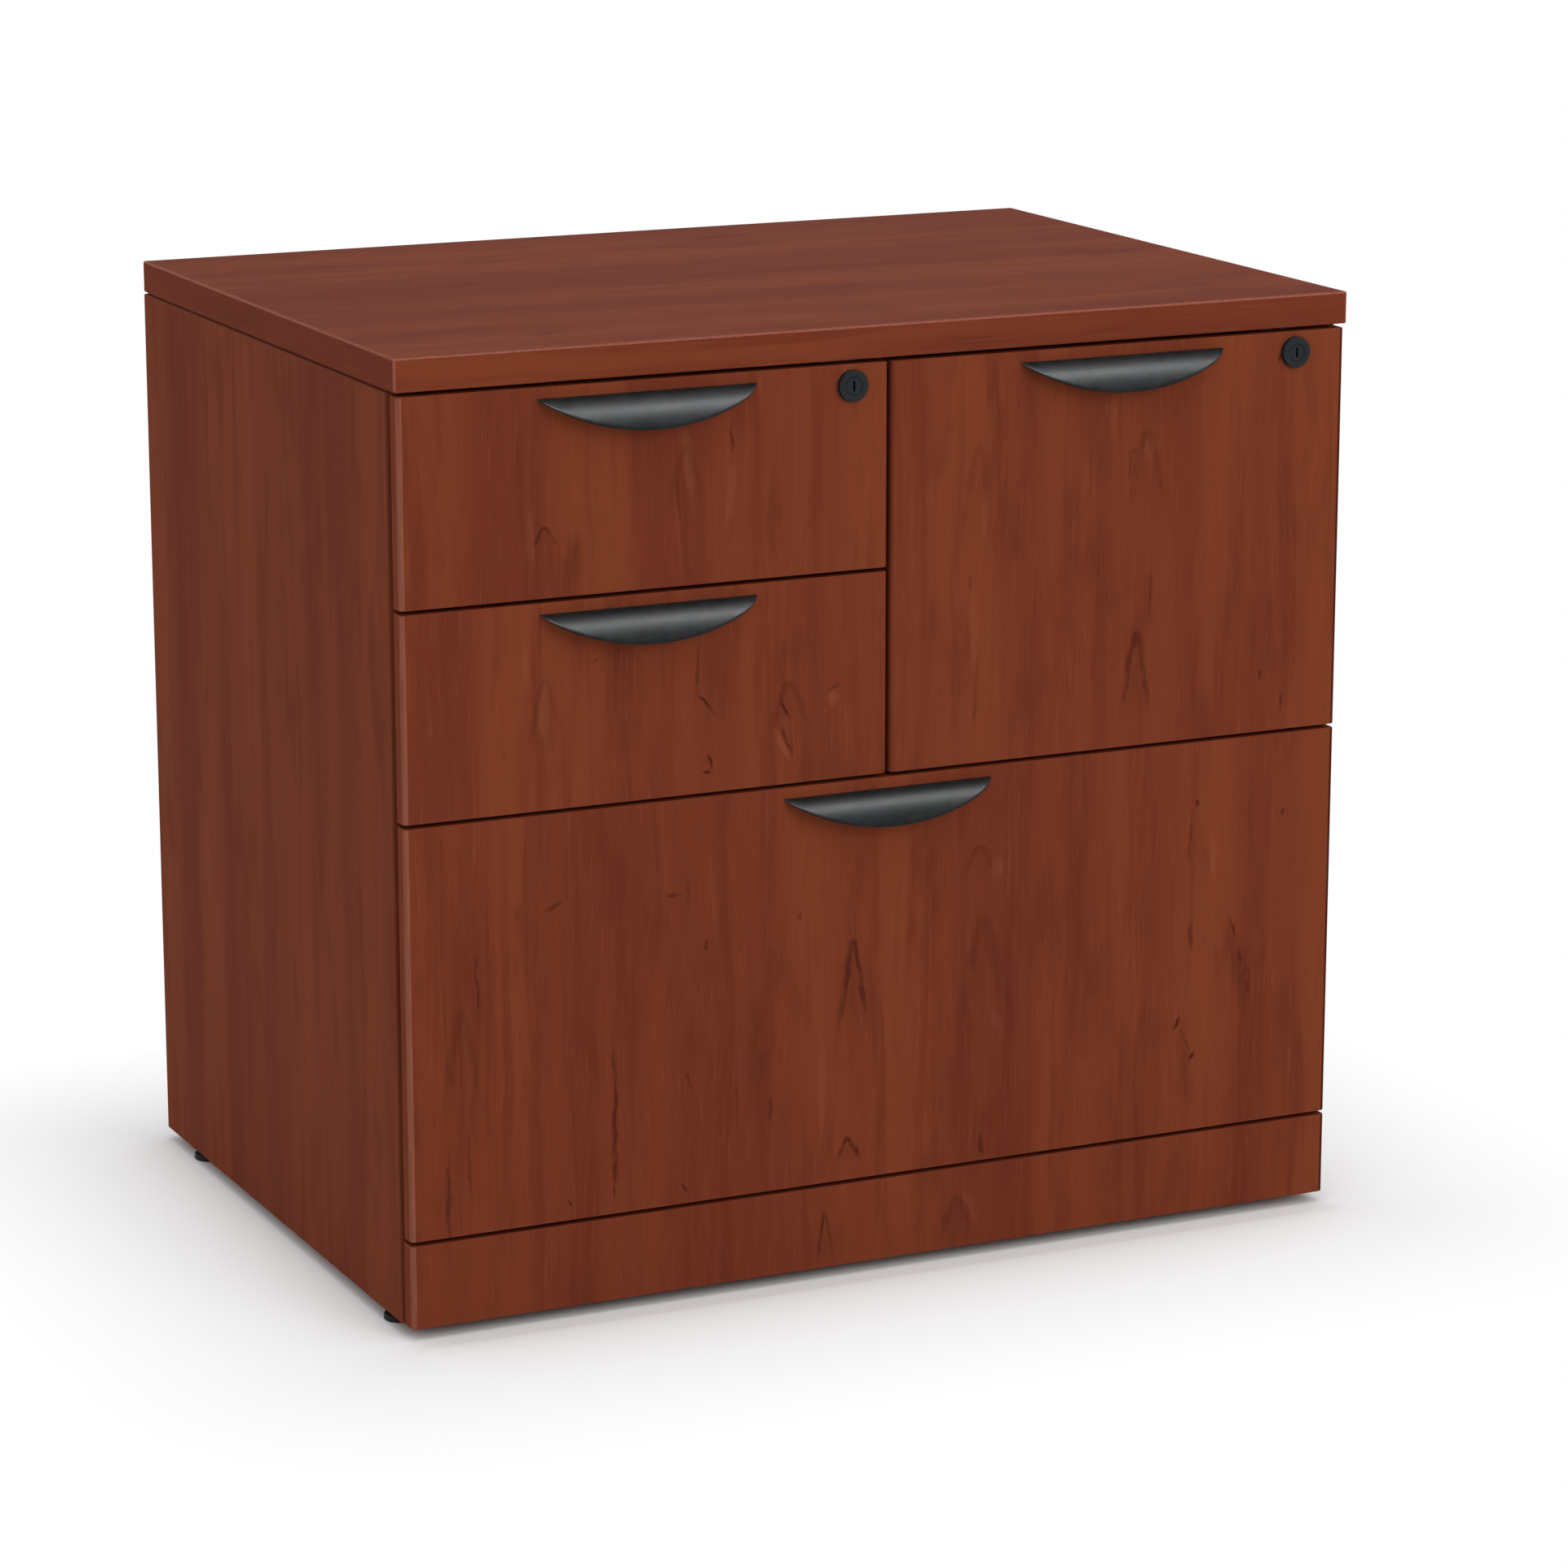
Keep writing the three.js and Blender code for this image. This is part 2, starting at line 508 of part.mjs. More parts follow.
function lockPlug() {
  const faceY = LOCK_PLUG_RECESS - LOCK_HEAD_PROUD;
  const core = rodAlongY(LOCK_PLUG_RADIUS, barrelEndY - faceY, ROUND_STEPS).translate(0, faceY, 0);
  const spigotEndY = camFrontY + CAM_THICKNESS + SEAT_GAP;
  const spigotLength = spigotEndY - barrelEndY + CUT_OVERRUN;
  const spigot = new THREE.BoxGeometry(SPIGOT_SIDE, spigotLength, SPIGOT_SIDE);
  spigot.translate(0, spigotEndY - spigotLength / 2, 0);
  const keyway = new THREE.BoxGeometry(KEYWAY_WIDTH, KEYWAY_DEPTH + CUT_OVERRUN, KEYWAY_HEIGHT);
  keyway.translate(0, faceY + (KEYWAY_DEPTH - CUT_OVERRUN) / 2, 0);
  return toGeometry(toSolid(core).add(toSolid(spigot)).subtract(toSolid(keyway)));
}

// The cam points to -X when unlocked, and its tip reaches up behind the strike after a quarter turn.
function lockCam() {
  const shape = new THREE.Shape();
  shape.absarc(0, 0, CAM_HALF_WIDTH, -Math.PI / 2, Math.PI / 2, false);
  shape.absarc(CAM_HALF_WIDTH - camReach, 0, CAM_HALF_WIDTH, Math.PI / 2, Math.PI * 1.5, false);
  const half = SPIGOT_SIDE / 2 + LOCK_CLEARANCE;
  const hole = new THREE.Path();
  hole.moveTo(-half, -half);
  hole.lineTo(-half, half);
  hole.lineTo(half, half);
  hole.lineTo(half, -half);
  shape.holes.push(hole);
  return extrudeAlongY(shape, CAM_THICKNESS, SMALL_ROUND_STEPS).translate(0, camFrontY, 0);
}

// An angle bracket under the top: its leg hangs just ahead of the raised cam.
function lockStrike() {
  const legBackY = camFrontY - STRIKE_CLEARANCE;
  const section = outline([
    [legBackY - STRIKE_FLANGE, 0],
    [legBackY - STRIKE_FLANGE, -STRIKE_SHEET],
    [legBackY - STRIKE_SHEET, -STRIKE_SHEET],
    [legBackY - STRIKE_SHEET, -STRIKE_DROP],
    [legBackY, -STRIKE_DROP],
    [legBackY, 0],
  ]);
  return extrudeAlongX(section, STRIKE_WIDTH);
}

function addLock(hand, x) {
  const axisZ = upperFrontsTopZ - LOCK_DROP;
  const lock = new THREE.Group();
  lock.position.set(x, frontFaceY, axisZ);
  cabinet.add(lock);
  addPiece(lock, `lock_barrel_${hand}`, lockBarrel(), materials.lockMetal);
  addPiece(lock, `lock_plug_${hand}`, lockPlug(), materials.lockMetal);
  addPiece(lock, `lock_cam_${hand}`, lockCam(), materials.zincSteel);
  addPiece(lock, `lock_strike_${hand}`, lockStrike(), materials.zincSteel, 0, 0, caseTopZ - axisZ);
}

// Drawers: each has a front, walls, a bottom, a pull and its runners
const leftBay = { minX: -sideInnerX, maxX: -PARTITION_THICKNESS / 2 };
const rightBay = { minX: PARTITION_THICKNESS / 2, maxX: sideInnerX };
const wideBay = { minX: -sideInnerX, maxX: sideInnerX };
const leftFront = { minX: -frontEndX, maxX: -FRONT_GAP / 2 };
const rightFront = { minX: FRONT_GAP / 2, maxX: frontEndX };
const wideFront = { minX: -frontEndX, maxX: frontEndX };
const lowerBoxFloorZ = shelfTopZ + DRAWER_FLOOR_CLEARANCE;
const boxPitch = boxFrontHeight + FRONT_GAP;

const drawers = [
  {
    name: "box_drawer_upper",
    bay: leftBay,
    front: leftFront,
    frontBottomZ: upperFrontsBottomZ + boxPitch,
    frontTopZ: upperFrontsTopZ,
    wallsBottomZ: lowerBoxFloorZ + boxPitch,
    wallTopDrop: BOX_WALL_TOP_DROP,
    runnerHeight: BOX_RUNNER_HEIGHT,
    fullExtension: false,
    lock: { hand: "left", x: leftFront.maxX - BOX_LOCK_INSET },
  },
  {
    name: "box_drawer_lower",
    bay: leftBay,
    front: leftFront,
    frontBottomZ: upperFrontsBottomZ,
    frontTopZ: upperFrontsBottomZ + boxFrontHeight,
    wallsBottomZ: lowerBoxFloorZ,
    wallTopDrop: BOX_WALL_TOP_DROP,
    runnerHeight: BOX_RUNNER_HEIGHT,
    fullExtension: false,
  },
  {
    name: "file_drawer",
    bay: rightBay,
    front: rightFront,
    frontBottomZ: upperFrontsBottomZ,
    frontTopZ: upperFrontsTopZ,
    wallsBottomZ: lowerBoxFloorZ,
    wallTopDrop: FILE_WALL_TOP_DROP,
    runnerHeight: FILE_RUNNER_HEIGHT,
    fullExtension: true,
    lock: { hand: "right", x: rightFront.maxX - FILE_LOCK_INSET },
    folders: "rails",
  },
  {
    name: "lateral_drawer",
    bay: wideBay,
    front: wideFront,
    frontBottomZ: lateralFrontBottomZ,
    frontTopZ: lateralFrontTopZ,
    wallsBottomZ: bottomTopZ + DRAWER_FLOOR_CLEARANCE,
    wallTopDrop: FILE_WALL_TOP_DROP,
    runnerHeight: FILE_RUNNER_HEIGHT,
    fullExtension: true,
    folders: "bars",
  },
];

function addFolderRails(drawer, middleX, width, wallsTopZ) {
  const reach = (width - WALL_THICKNESS) / 2;
  const railY = wallsFrontY + wallsLength / 2;
  for (const [hand, direction] of [["left", -1], ["right", 1]]) {
    const name = `${drawer}_folder_rail_${hand}`;
    const railX = middleX + direction * reach;
    const rail = addPiece(cabinet, name, folderRail(), materials.zincSteel, railX, railY, wallsTopZ);
    rail.rotation.z = direction === -1 ? 0 : Math.PI;
  }
}

function addFolderBars(drawer, x, width, wallsTopZ) {
  const frontY = wallsFrontY + WALL_THICKNESS + BAR_FRONT_SETBACK;
  for (const [row, y] of [["front", frontY], ["rear", frontY + BAR_SPACING]]) {
    addPiece(cabinet, `${drawer}_folder_bar_${row}`, folderBar(width), materials.zincSteel, x, y, wallsTopZ);
  }
}

function addDrawer(drawer) {
  const { name, bay, front } = drawer;
  const frontX = (front.minX + front.maxX) / 2;
  const frontHeight = drawer.frontTopZ - drawer.frontBottomZ;
  const lockX = drawer.lock ? drawer.lock.x - frontX : undefined;
  const panel = drawerFront(front.maxX - front.minX, frontHeight, lockX);
  const panelY = frontFaceY + FRONT_THICKNESS / 2;
  const panelZ = drawer.frontBottomZ + frontHeight / 2;
  const pullZ = drawer.frontTopZ - PULL_TOP_MARGIN;
  addPiece(cabinet, `${name}_front`, panel, materials.frontLaminate, frontX, panelY, panelZ);
  addPiece(cabinet, `${name}_pull`, pull(), materials.blackPull, frontX, frontFaceY, pullZ);

  const bayX = (bay.minX + bay.maxX) / 2;
  const width = bay.maxX - bay.minX - 2 * RUNNER_SPACE;
  const wallsY = wallsFrontY + wallsLength / 2;
  const wallsTopZ = drawer.frontTopZ - drawer.wallTopDrop;
  const walls = drawerWalls(width, wallsTopZ - drawer.wallsBottomZ);
  addPiece(cabinet, `${name}_walls`, walls, materials.birchPlywood, bayX, wallsY, drawer.wallsBottomZ);
  const bottomZ = drawer.wallsBottomZ + DRAWER_BOTTOM_RISE + SEAT_GAP + DRAWER_BOTTOM_THICKNESS / 2;
  addPiece(cabinet, `${name}_bottom`, drawerBottom(width), materials.hardboard, bayX, wallsY, bottomZ);

  addRunners(name, bay, drawer.runnerHeight, drawer.fullExtension, drawer.wallsBottomZ + RUNNER_RISE);
  if (drawer.lock) addLock(drawer.lock.hand, drawer.lock.x);
  if (drawer.folders === "rails") addFolderRails(name, bayX, width, wallsTopZ);
  if (drawer.folders === "bars") addFolderBars(name, bayX, width, wallsTopZ);
}

addCase();
addFeet();
drawers.forEach(addDrawer);

export default cabinet;
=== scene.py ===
"""Filing cabinet in cherry laminate: finishes, fine meshes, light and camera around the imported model."""

import json
import math

import bmesh
import bpy
from mathutils import Matrix, Vector


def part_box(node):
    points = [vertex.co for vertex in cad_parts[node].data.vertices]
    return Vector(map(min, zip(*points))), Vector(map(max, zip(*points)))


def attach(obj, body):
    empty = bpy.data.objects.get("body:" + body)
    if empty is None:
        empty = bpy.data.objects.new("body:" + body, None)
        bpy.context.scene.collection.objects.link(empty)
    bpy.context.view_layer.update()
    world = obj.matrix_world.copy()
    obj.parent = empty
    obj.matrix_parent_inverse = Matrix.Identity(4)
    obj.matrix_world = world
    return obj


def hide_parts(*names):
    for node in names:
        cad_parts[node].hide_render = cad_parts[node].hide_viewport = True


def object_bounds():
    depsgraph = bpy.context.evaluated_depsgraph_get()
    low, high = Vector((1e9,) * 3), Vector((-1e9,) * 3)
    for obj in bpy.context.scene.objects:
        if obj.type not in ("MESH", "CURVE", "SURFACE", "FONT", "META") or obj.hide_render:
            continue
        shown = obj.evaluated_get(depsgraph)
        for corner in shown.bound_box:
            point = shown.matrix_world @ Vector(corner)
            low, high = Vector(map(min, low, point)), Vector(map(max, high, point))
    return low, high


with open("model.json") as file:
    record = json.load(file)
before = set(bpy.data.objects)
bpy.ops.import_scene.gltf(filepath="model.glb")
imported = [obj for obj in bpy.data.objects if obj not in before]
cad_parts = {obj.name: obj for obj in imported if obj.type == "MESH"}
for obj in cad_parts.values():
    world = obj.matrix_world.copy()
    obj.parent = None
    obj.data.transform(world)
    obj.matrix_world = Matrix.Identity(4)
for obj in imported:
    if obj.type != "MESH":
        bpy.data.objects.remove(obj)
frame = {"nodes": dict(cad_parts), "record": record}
cad_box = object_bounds()

MM = 0.001
X, Y, Z = 0, 1, 2
BACKWARD = Vector((0, 1, 0))
UPWARD = Vector((0, 0, 1))
HANDS = ("left", "right")
DRAWERS = ("box_drawer_upper", "box_drawer_lower", "file_drawer", "lateral_drawer")
LOCKS = {"left": "box_drawer_upper", "right": "file_drawer"}

# The photograph's view: place in metres, turn and tilt in radians, lens in millimetres.
CAMERA_PLACE = (-1.6974, -3.691, 1.3125)
CAMERA_TURN = 0.440
CAMERA_TILT = 0.238
CAMERA_LENS = 119.24
CAMERA_SENSOR = 36

# Boards, in millimetres.
TOP_RADIUS = 1.5
FRONT_RADIUS = 0.8
FRONT_END_RADIUS = 3.5
PANEL_RADIUS = 1.2
TOP_SHADOW_GAP = 1.2
TONGUE_INSET = 1.2
TONGUE_SLOPE = 0.3
PLYWOOD_THICKNESS = 12
PLYWOOD_RADIUS = 0.8
PLYWOOD_LAYERS = 9
JOINT_LINE = 0.2
EDGE_SEGMENTS = 4
# Limits on a face's normal: flat along one axis, upright, and turned to the floor.
FLAT_NORMAL = 0.999
UPRIGHT_NORMAL = 0.3
UNDERSIDE_NORMAL = -0.1
# Material places on a board: its face, the edges across the grain, and the rounded edges with a painted
# highlight and with painted shade.
FACE, EDGE, PAINTED_HIGHLIGHT_EDGE, PAINTED_SHADE_EDGE = range(4)
# Material places on a drawer box: face and edges of its side walls, then of its front and back walls.
SIDE_FACE, SIDE_EDGE, END_FACE, END_EDGE = range(4)

# Pull, in millimetres: a hood with a quarter-oval section, an arched lip and two screw bosses.
PULL_DEPTH = (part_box("lateral_drawer_front")[0].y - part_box("lateral_drawer_pull")[0].y) / MM
PULL_DROP = (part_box("lateral_drawer_pull")[1].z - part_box("lateral_drawer_pull")[0].z) / MM
PULL_TIP = 0.4
PULL_WALL = 2.2
PULL_TAPER = 12
PULL_BOSS_RADIUS = 4
PULL_BOSS_SPREAD = 48
PULL_BOSS_DROP = 8.5
# The most of the hood's drop that its wall takes near the tips.
PULL_TIP_WALL = 0.4
# Shares of the section's path: outside down to the lip, and round the lip.
PULL_OUTSIDE = 0.6
PULL_LIP = 0.7
# Steps along the hood, round its section and round a boss.
PULL_STEPS = 80
SECTION_STEPS = 30
BOSS_STEPS = 32
# Points of the hood's flat grid past this share of its half height lie on its two rims.
RIM_SHARE = 0.999

# Lock, in millimetres, along its axis from the front's face.
LOCK_HEAD_RADIUS = 12
LOCK_HEAD_PROUD = 4.5
LOCK_HEAD_ROUND = 1.4
LOCK_BARREL_RADIUS = 9
LOCK_BARREL_END = 26
LOCK_BORE_RADIUS = 6.8
LOCK_BORE_CHAMFER = 0.5
LOCK_PLUG_RADIUS = 6.5
LOCK_PLUG_RECESS = 0.6
LOCK_STEPS = 64
KEYWAY_WIDTH = 1.8
KEYWAY_HEIGHT = 8
KEYWAY_DEPTH = 9
# How far a circle is squared off to the keyway's slot, across and up: one is round, nought is square.
KEYWAY_ROUND_ACROSS = 0.3
KEYWAY_ROUND_UP = 0.7
SPIGOT_SIDE = 5
SPIGOT_LENGTH = 3.2
NUT_BORE_RADIUS = 9.3
NUT_FLATS = 25
NUT_CHAMFER = 0.8
NUT_THICKNESS = 4
NUT_STEPS = 48

# Levelling foot, in millimetres.
FOOT_RADIUS = 12
FOOT_HEIGHT = 5
FOOT_ROUND = 1.2
FOOT_NECK_RADIUS = 7.5
FOOT_NECK_TOP = 8.7
FOOT_STEM_RADIUS = 4
FOOT_STEM_TOP = 41
FOOT_STEPS = 48
THREAD_PITCH = 1.5
THREAD_DEPTH = 0.5

# Screws and bumpers, in millimetres, each with its profile in shares of its radius and height.
SCREW_RADIUS = 4
SCREW_HEIGHT = 2.2
SCREW_PROFILE = ((0, 1), (0.5, 0.95), (0.85, 0.65), (1, 0.2), (1, 0), (0, 0))
RUNNER_SHEET = 1.5
RUNNER_SCREW_END = 37
BUMPER_RADIUS = 4
BUMPER_HEIGHT = 1.6
BUMPER_PROFILE = ((0, 1), (0.7, 0.9), (1, 0.4), (1, 0), (0, 0))
BUMPER_INSET = 12
BUMPER_MIDDLE_INSET = 5
BUTTON_STEPS = 24
# Places of the screws on a drawer box's front wall, in shares of its width and height.
FRONT_SCREWS_ACROSS = (0.2, 0.8)
FRONT_SCREWS_UP = (0.35, 0.8)

# Points closer than this distance in millimetres are one.
MERGE_DISTANCE = 0.001
# Edges past this angle in radians are shaded sharp.
SHARP_ANGLE = 0.6

# Finest patterns, in millimetres. The real ones are about 0.1 mm, and are drawn coarser so that they show.
# So are the fibres and pores of the wood.
SUEDE_GRIT = 0.5
LACQUER_GRIT = 0.8
COAT_GRAIN = 0.6
ROLLING_LINE = 0.8
# Broader patterns, in millimetres.
LACQUER_CLOUD = 9
ZINC_PATCH = 14
HARDBOARD_CLOUD = 24
HARDBOARD_FIBRE = 1.6
RUBBER_MOTTLE = 1.5

# The range that most of a noise lies in, and a mapping that fades in and out softly.
NOISE_LOW = 0.3
NOISE_HIGH = 0.7
SOFT = {"interpolation_type": "SMOOTHSTEP"}
# Sockets of a Mix node for colours, which share their names with its other kinds.
MIX_SHARE, MIX_BASE, MIX_OVER = 0, 6, 7
MIX_RESULT = 2

# Where each board is cut from the printed sheet, in millimetres.
SHEETS = {
    "top": (0, 0, 0),
    "left": (410, 130, 820),
    "right": (930, 510, 270),
    "back": (1340, 880, 640),
    "inside": (260, 1450, 390),
    "box_drawer_upper": (720, 0, 1530),
    "box_drawer_lower": (1860, 0, 190),
    "file_drawer": (1190, 0, 760),
    "lateral_drawer": (330, 0, 480),
}

# Figure of the print on the fronts, placed from the photograph.
# Places and sizes are in millimetres of the cabinet's frame.
# Fleck: across, up, half width, half length, lean in degrees, depth of colour.
FLECKS = {
    "lateral_drawer": (
        (-337, 268, 1.6, 30, 3, 0.4), (-360, 110, 1.8, 34, 0, 0.5), (-344, 130, 1.5, 28, -4, 0.4),
        (-276, 322, 8, 2, -18, 0.5), (-178, 321, 7, 1.8, 14, 0.5), (-166, 315, 1.3, 17, 0, 0.4),
        (-152, 277, 1.5, 5, 0, 0.5), (-227, 150, 2.2, 68, 0, 0.6), (-98, 145, 1.6, 11, 4, 0.5),
        (-127, 150, 2.5, 18, -6, 0.35), (-108, 190, 12, 45, 0, 0.22), (270, 343, 1.8, 3.5, 0, 0.7),
        (264, 312, 1.2, 20, 3, 0.5), (265, 235, 2.2, 12, -4, 0.45), (308, 205, 10, 36, -14, 0.3),
        (302, 236, 1.6, 13, -18, 0.6), (309, 214, 2, 9, -8, 0.6), (316, 200, 3, 7, -12, 0.55),
        (318, 186, 1.6, 9, -14, 0.6), (254, 165, 1.4, 6, 28, 0.7), (268, 138, 1.6, 5.5, 40, 0.8),
        (262, 150, 1, 11, -30, 0.4), (-265, 92, 1.3, 3, -20, 0.7), (-228, 92, 1.3, 4, -15, 0.7),
        (-170, 92, 1.3, 5, -22, 0.6), (348, 331, 1.4, 3, 0, 0.6), (84, 88, 2.5, 9, -6, 0.5),
        (-167, 172, 1.6, 9, -10, 0.5), (-75, 292, 1.4, 4, 0, 0.4),
    ),
    "file_drawer": (
        (322, 440, 1.4, 5, 0, 0.6), (342, 418, 1.6, 10, -4, 0.5), (205, 612, 1.2, 16, 12, 0.35),
        (212, 628, 8, 2, -20, 0.3), (70, 536, 1.5, 7, 0, 0.4), (74, 455, 2.4, 34, 2, 0.3),
        (338, 690, 1.6, 4, 20, 0.6), (222, 512, 2, 18, 0, 0.3), (304, 560, 3, 60, 0, 0.2),
    ),
    "box_drawer_upper": (
        (-130, 658, 1.2, 10, -4, 0.5), (-172, 625, 1.5, 26, -3, 0.3), (-258, 583, 7, 18, 0, 0.2),
        (-300, 655, 1.3, 18, 0, 0.35), (-95, 600, 6, 40, 0, 0.2),
    ),
    "box_drawer_lower": (
        (-159, 486, 1.2, 20, 4, 0.45), (-152, 463, 1.3, 13, -36, 0.7), (-148, 417, 1.3, 6, -12, 0.9),
        (-151, 410, 3.5, 1.4, 20, 0.8), (-86, 455, 1.6, 11, -28, 0.7), (-86, 429, 2.4, 13, -28, 0.45),
        (-45, 466, 6, 1.6, -12, 0.35), (-276, 462, 7, 30, 0, 0.2), (-240, 504, 6, 1.5, -16, 0.3),
    ),
}
# Arch: across and up of its point, half width at the foot, height, depth of colour.
ARCHES = {
    "lateral_drawer": (
        (-30, 268, 12, 76, 0.6), (-32, 112, 9, 20, 0.7), (82, 272, 22, 95, 0.25), (80, 330, 14, 26, 0.25),
        (-350, 250, 16, 80, 0.22), (-53, 54, 8, 42, 0.6), (60, 52, 16, 40, 0.25),
    ),
    "file_drawer": ((212, 484, 13, 66, 0.5), (220, 640, 16, 60, 0.25), (74, 640, 16, 90, 0.2)),
    "box_drawer_upper": ((-278, 606, 9, 14, 0.5), (-165, 660, 14, 50, 0.2)),
    "box_drawer_lower": ((-280, 492, 11, 44, 0.3), (-82, 474, 16, 40, 0.25)),
}
# Pale patch: across, up, half width, half length, lean in degrees, depth of colour.
PATCHES = {
    "lateral_drawer": (
        (-55, 150, 4, 60, 0, 0.3), (92, 190, 5, 22, -24, 0.22), (70, 235, 4, 40, 0, 0.25),
        (94, 312, 7, 10, 0, 0.3), (-345, 215, 6, 60, 0, 0.25), (283, 300, 3, 22, 0, 0.35),
        (325, 225, 5, 14, -20, 0.18), (72, 40, 6, 22, -16, 0.25),
    ),
    "file_drawer": (
        (222, 626, 6, 12, 0, 0.28), (82, 588, 5, 24, 0, 0.35), (190, 655, 4, 22, 0, 0.3),
        (72, 500, 5, 40, 0, 0.25),
    ),
    "box_drawer_upper": (
        (-33, 704, 6, 30, 0, 0.35), (-163, 645, 6, 34, -8, 0.35), (-290, 600, 5, 30, 0, 0.3),
        (-130, 620, 5, 26, 6, 0.3),
    ),
    "box_drawer_lower": (
        (-281, 468, 6, 26, 0, 0.4), (-295, 505, 4, 22, 0, 0.3), (-90, 425, 4, 16, -28, 0.4),
        (-46, 458, 6, 7, 0, 0.35),
    ),
}
# Depth over which a mark on a front is the same, in metres.
DEEP = 100
# A fleck is full up to its core and gone at its rim, in shares of its half size.
FLECK_CORE = 0.4
FLECK_RIM = 1.3
# An arch's legs spread by this power of the way down, and its heart has this share of its line's depth.
ARCH_SPREAD = 0.75
ARCH_HEART = 0.3

# Light: ambient level, then each softbox's place, target and size in metres and its power in watts.
AMBIENT_LEVEL = 0.78
OVERHEAD_SOFTBOX = ((0.2, -0.9, 3.2), (0, -0.1, 0.7), (2.4, 1.6), 10)
FRONT_SOFTBOX = ((1.2, -3.4, 1.9), (0, -0.1, 0.4), (1.6, 1.6), 32)
PULL_SOFTBOXES = {
    "left": ((-0.84, -1.6, 2.08), (0, -0.28, 0.5), (1.2, 0.6), 125),
    "right": ((0.84, -1.6, 2.08), (0, -0.28, 0.5), (1.2, 0.6), 125),
}
# The floor's half size and the reach of its shadow, in metres, and the power that the shadow fades by.
FLOOR_HALF = 12
FLOOR_FADE = 0.26
FLOOR_FADE_POWER = 0.45


def linear(colour):
    """A colour written as sRGB hex, as the linear values that a shader takes."""
    channels = [int(colour[i:i + 2], 16) / 255 for i in (1, 3, 5)]
    return [c / 12.92 if c <= 0.04045 else ((c + 0.055) / 1.055) ** 2.4 for c in channels] + [1]


def add(tree, kind, inputs=None, **settings):
    """Adds a node with its settings, each input set to a value or linked to another node's output."""
    node = tree.nodes.new(kind)
    for name, value in settings.items():
        setattr(node, name, value)
    for key, value in (inputs or {}).items():
        if isinstance(value, bpy.types.NodeSocket):
            tree.links.new(value, node.inputs[key])
        else:
            node.inputs[key].default_value = value
    return node


def new_material(name):
    """An empty node material, its tree and the place on the object that its patterns read, in metres."""
    material = bpy.data.materials.new(name)
    material.use_nodes = True
    tree = material.node_tree
    tree.nodes.clear()
    place = add(tree, "ShaderNodeTexCoord").outputs["Object"]
    return material, tree, place


def finish_surface(tree, wear, smooth, rough, inputs):
    """Ends a material in one Principled surface, whose roughness follows a pattern from smooth to rough."""
    roughness = add(tree, "ShaderNodeMapRange", {
        "Value": wear, "From Min": NOISE_LOW, "From Max": NOISE_HIGH, "To Min": smooth, "To Max": rough,
    }).outputs[0]
    surface = add(tree, "ShaderNodeBsdfPrincipled", {"Roughness": roughness, **inputs})
    add(tree, "ShaderNodeOutputMaterial", {"Surface": surface.outputs[0]})


def grain_noise(tree, place, grain, across, along, detail=2.0):
    """Noise drawn out along the grain, in streaks of this width and length in millimetres."""
    scale = [1 / (across * MM)] * 3
    scale[grain] = 1 / (along * MM)
    space = add(tree, "ShaderNodeMapping", {"Vector": place, "Scale": scale})
    noise = add(tree, "ShaderNodeTexNoise", {"Vector": space.outputs[0], "Scale": 1.0, "Detail": detail})
    return noise.outputs[0]


def stain(tree, base, colour, pattern, start=NOISE_LOW, end=NOISE_HIGH, depth=1.0):
    """Lays a colour over a base where a pattern passes from start to end, to a depth of nought to one."""
    share = add(tree, "ShaderNodeMapRange", {
        "Value": pattern, "From Min": start, "From Max": end, "To Min": 0.0, "To Max": depth,
    }, **SOFT).outputs[0]
    inputs = {MIX_SHARE: share, MIX_BASE: base, MIX_OVER: linear(colour)}
    return add(tree, "ShaderNodeMix", inputs, data_type="RGBA").outputs[MIX_RESULT]


def wander(tree, place, grain, across, along, sway):
    """The place moved from side to side by a sway, over a width and length, so that no line runs straight.
    All three are in millimetres."""
    scale = [1 / (across * MM)] * 3
    scale[grain] = 1 / (along * MM)
    space = add(tree, "ShaderNodeMapping", {"Vector": place, "Scale": scale}).outputs[0]
    noise = add(tree, "ShaderNodeTexNoise", {"Vector": space, "Scale": 1.0, "Detail": 2.0}).outputs["Color"]
    middle = (0.5, 0.5, 0.5)
    centred = add(tree, "ShaderNodeVectorMath", {0: noise, 1: middle}, operation="SUBTRACT").outputs[0]
    inputs = {0: centred, 1: [sway * MM] * 3, 2: place}
    return add(tree, "ShaderNodeVectorMath", inputs, operation="MULTIPLY_ADD").outputs[0]


def fleck(tree, place, x, z, half_width, half_length, lean, depth):
    """A fleck or soft streak at a place in millimetres, leaning from the grain by degrees."""
    local = add(tree, "ShaderNodeMapping", {
        "Vector": place,
        "Location": (x * MM, 0, z * MM),
        "Rotation": (0, math.radians(lean), 0),
        "Scale": (half_width * MM, DEEP, half_length * MM),
    }, vector_type="TEXTURE").outputs[0]
    reach = add(tree, "ShaderNodeVectorMath", {0: local}, operation="LENGTH").outputs["Value"]
    return add(tree, "ShaderNodeMapRange", {
        "Value": reach, "From Min": FLECK_CORE, "From Max": FLECK_RIM, "To Min": depth, "To Max": 0.0,
    }, **SOFT).outputs[0]


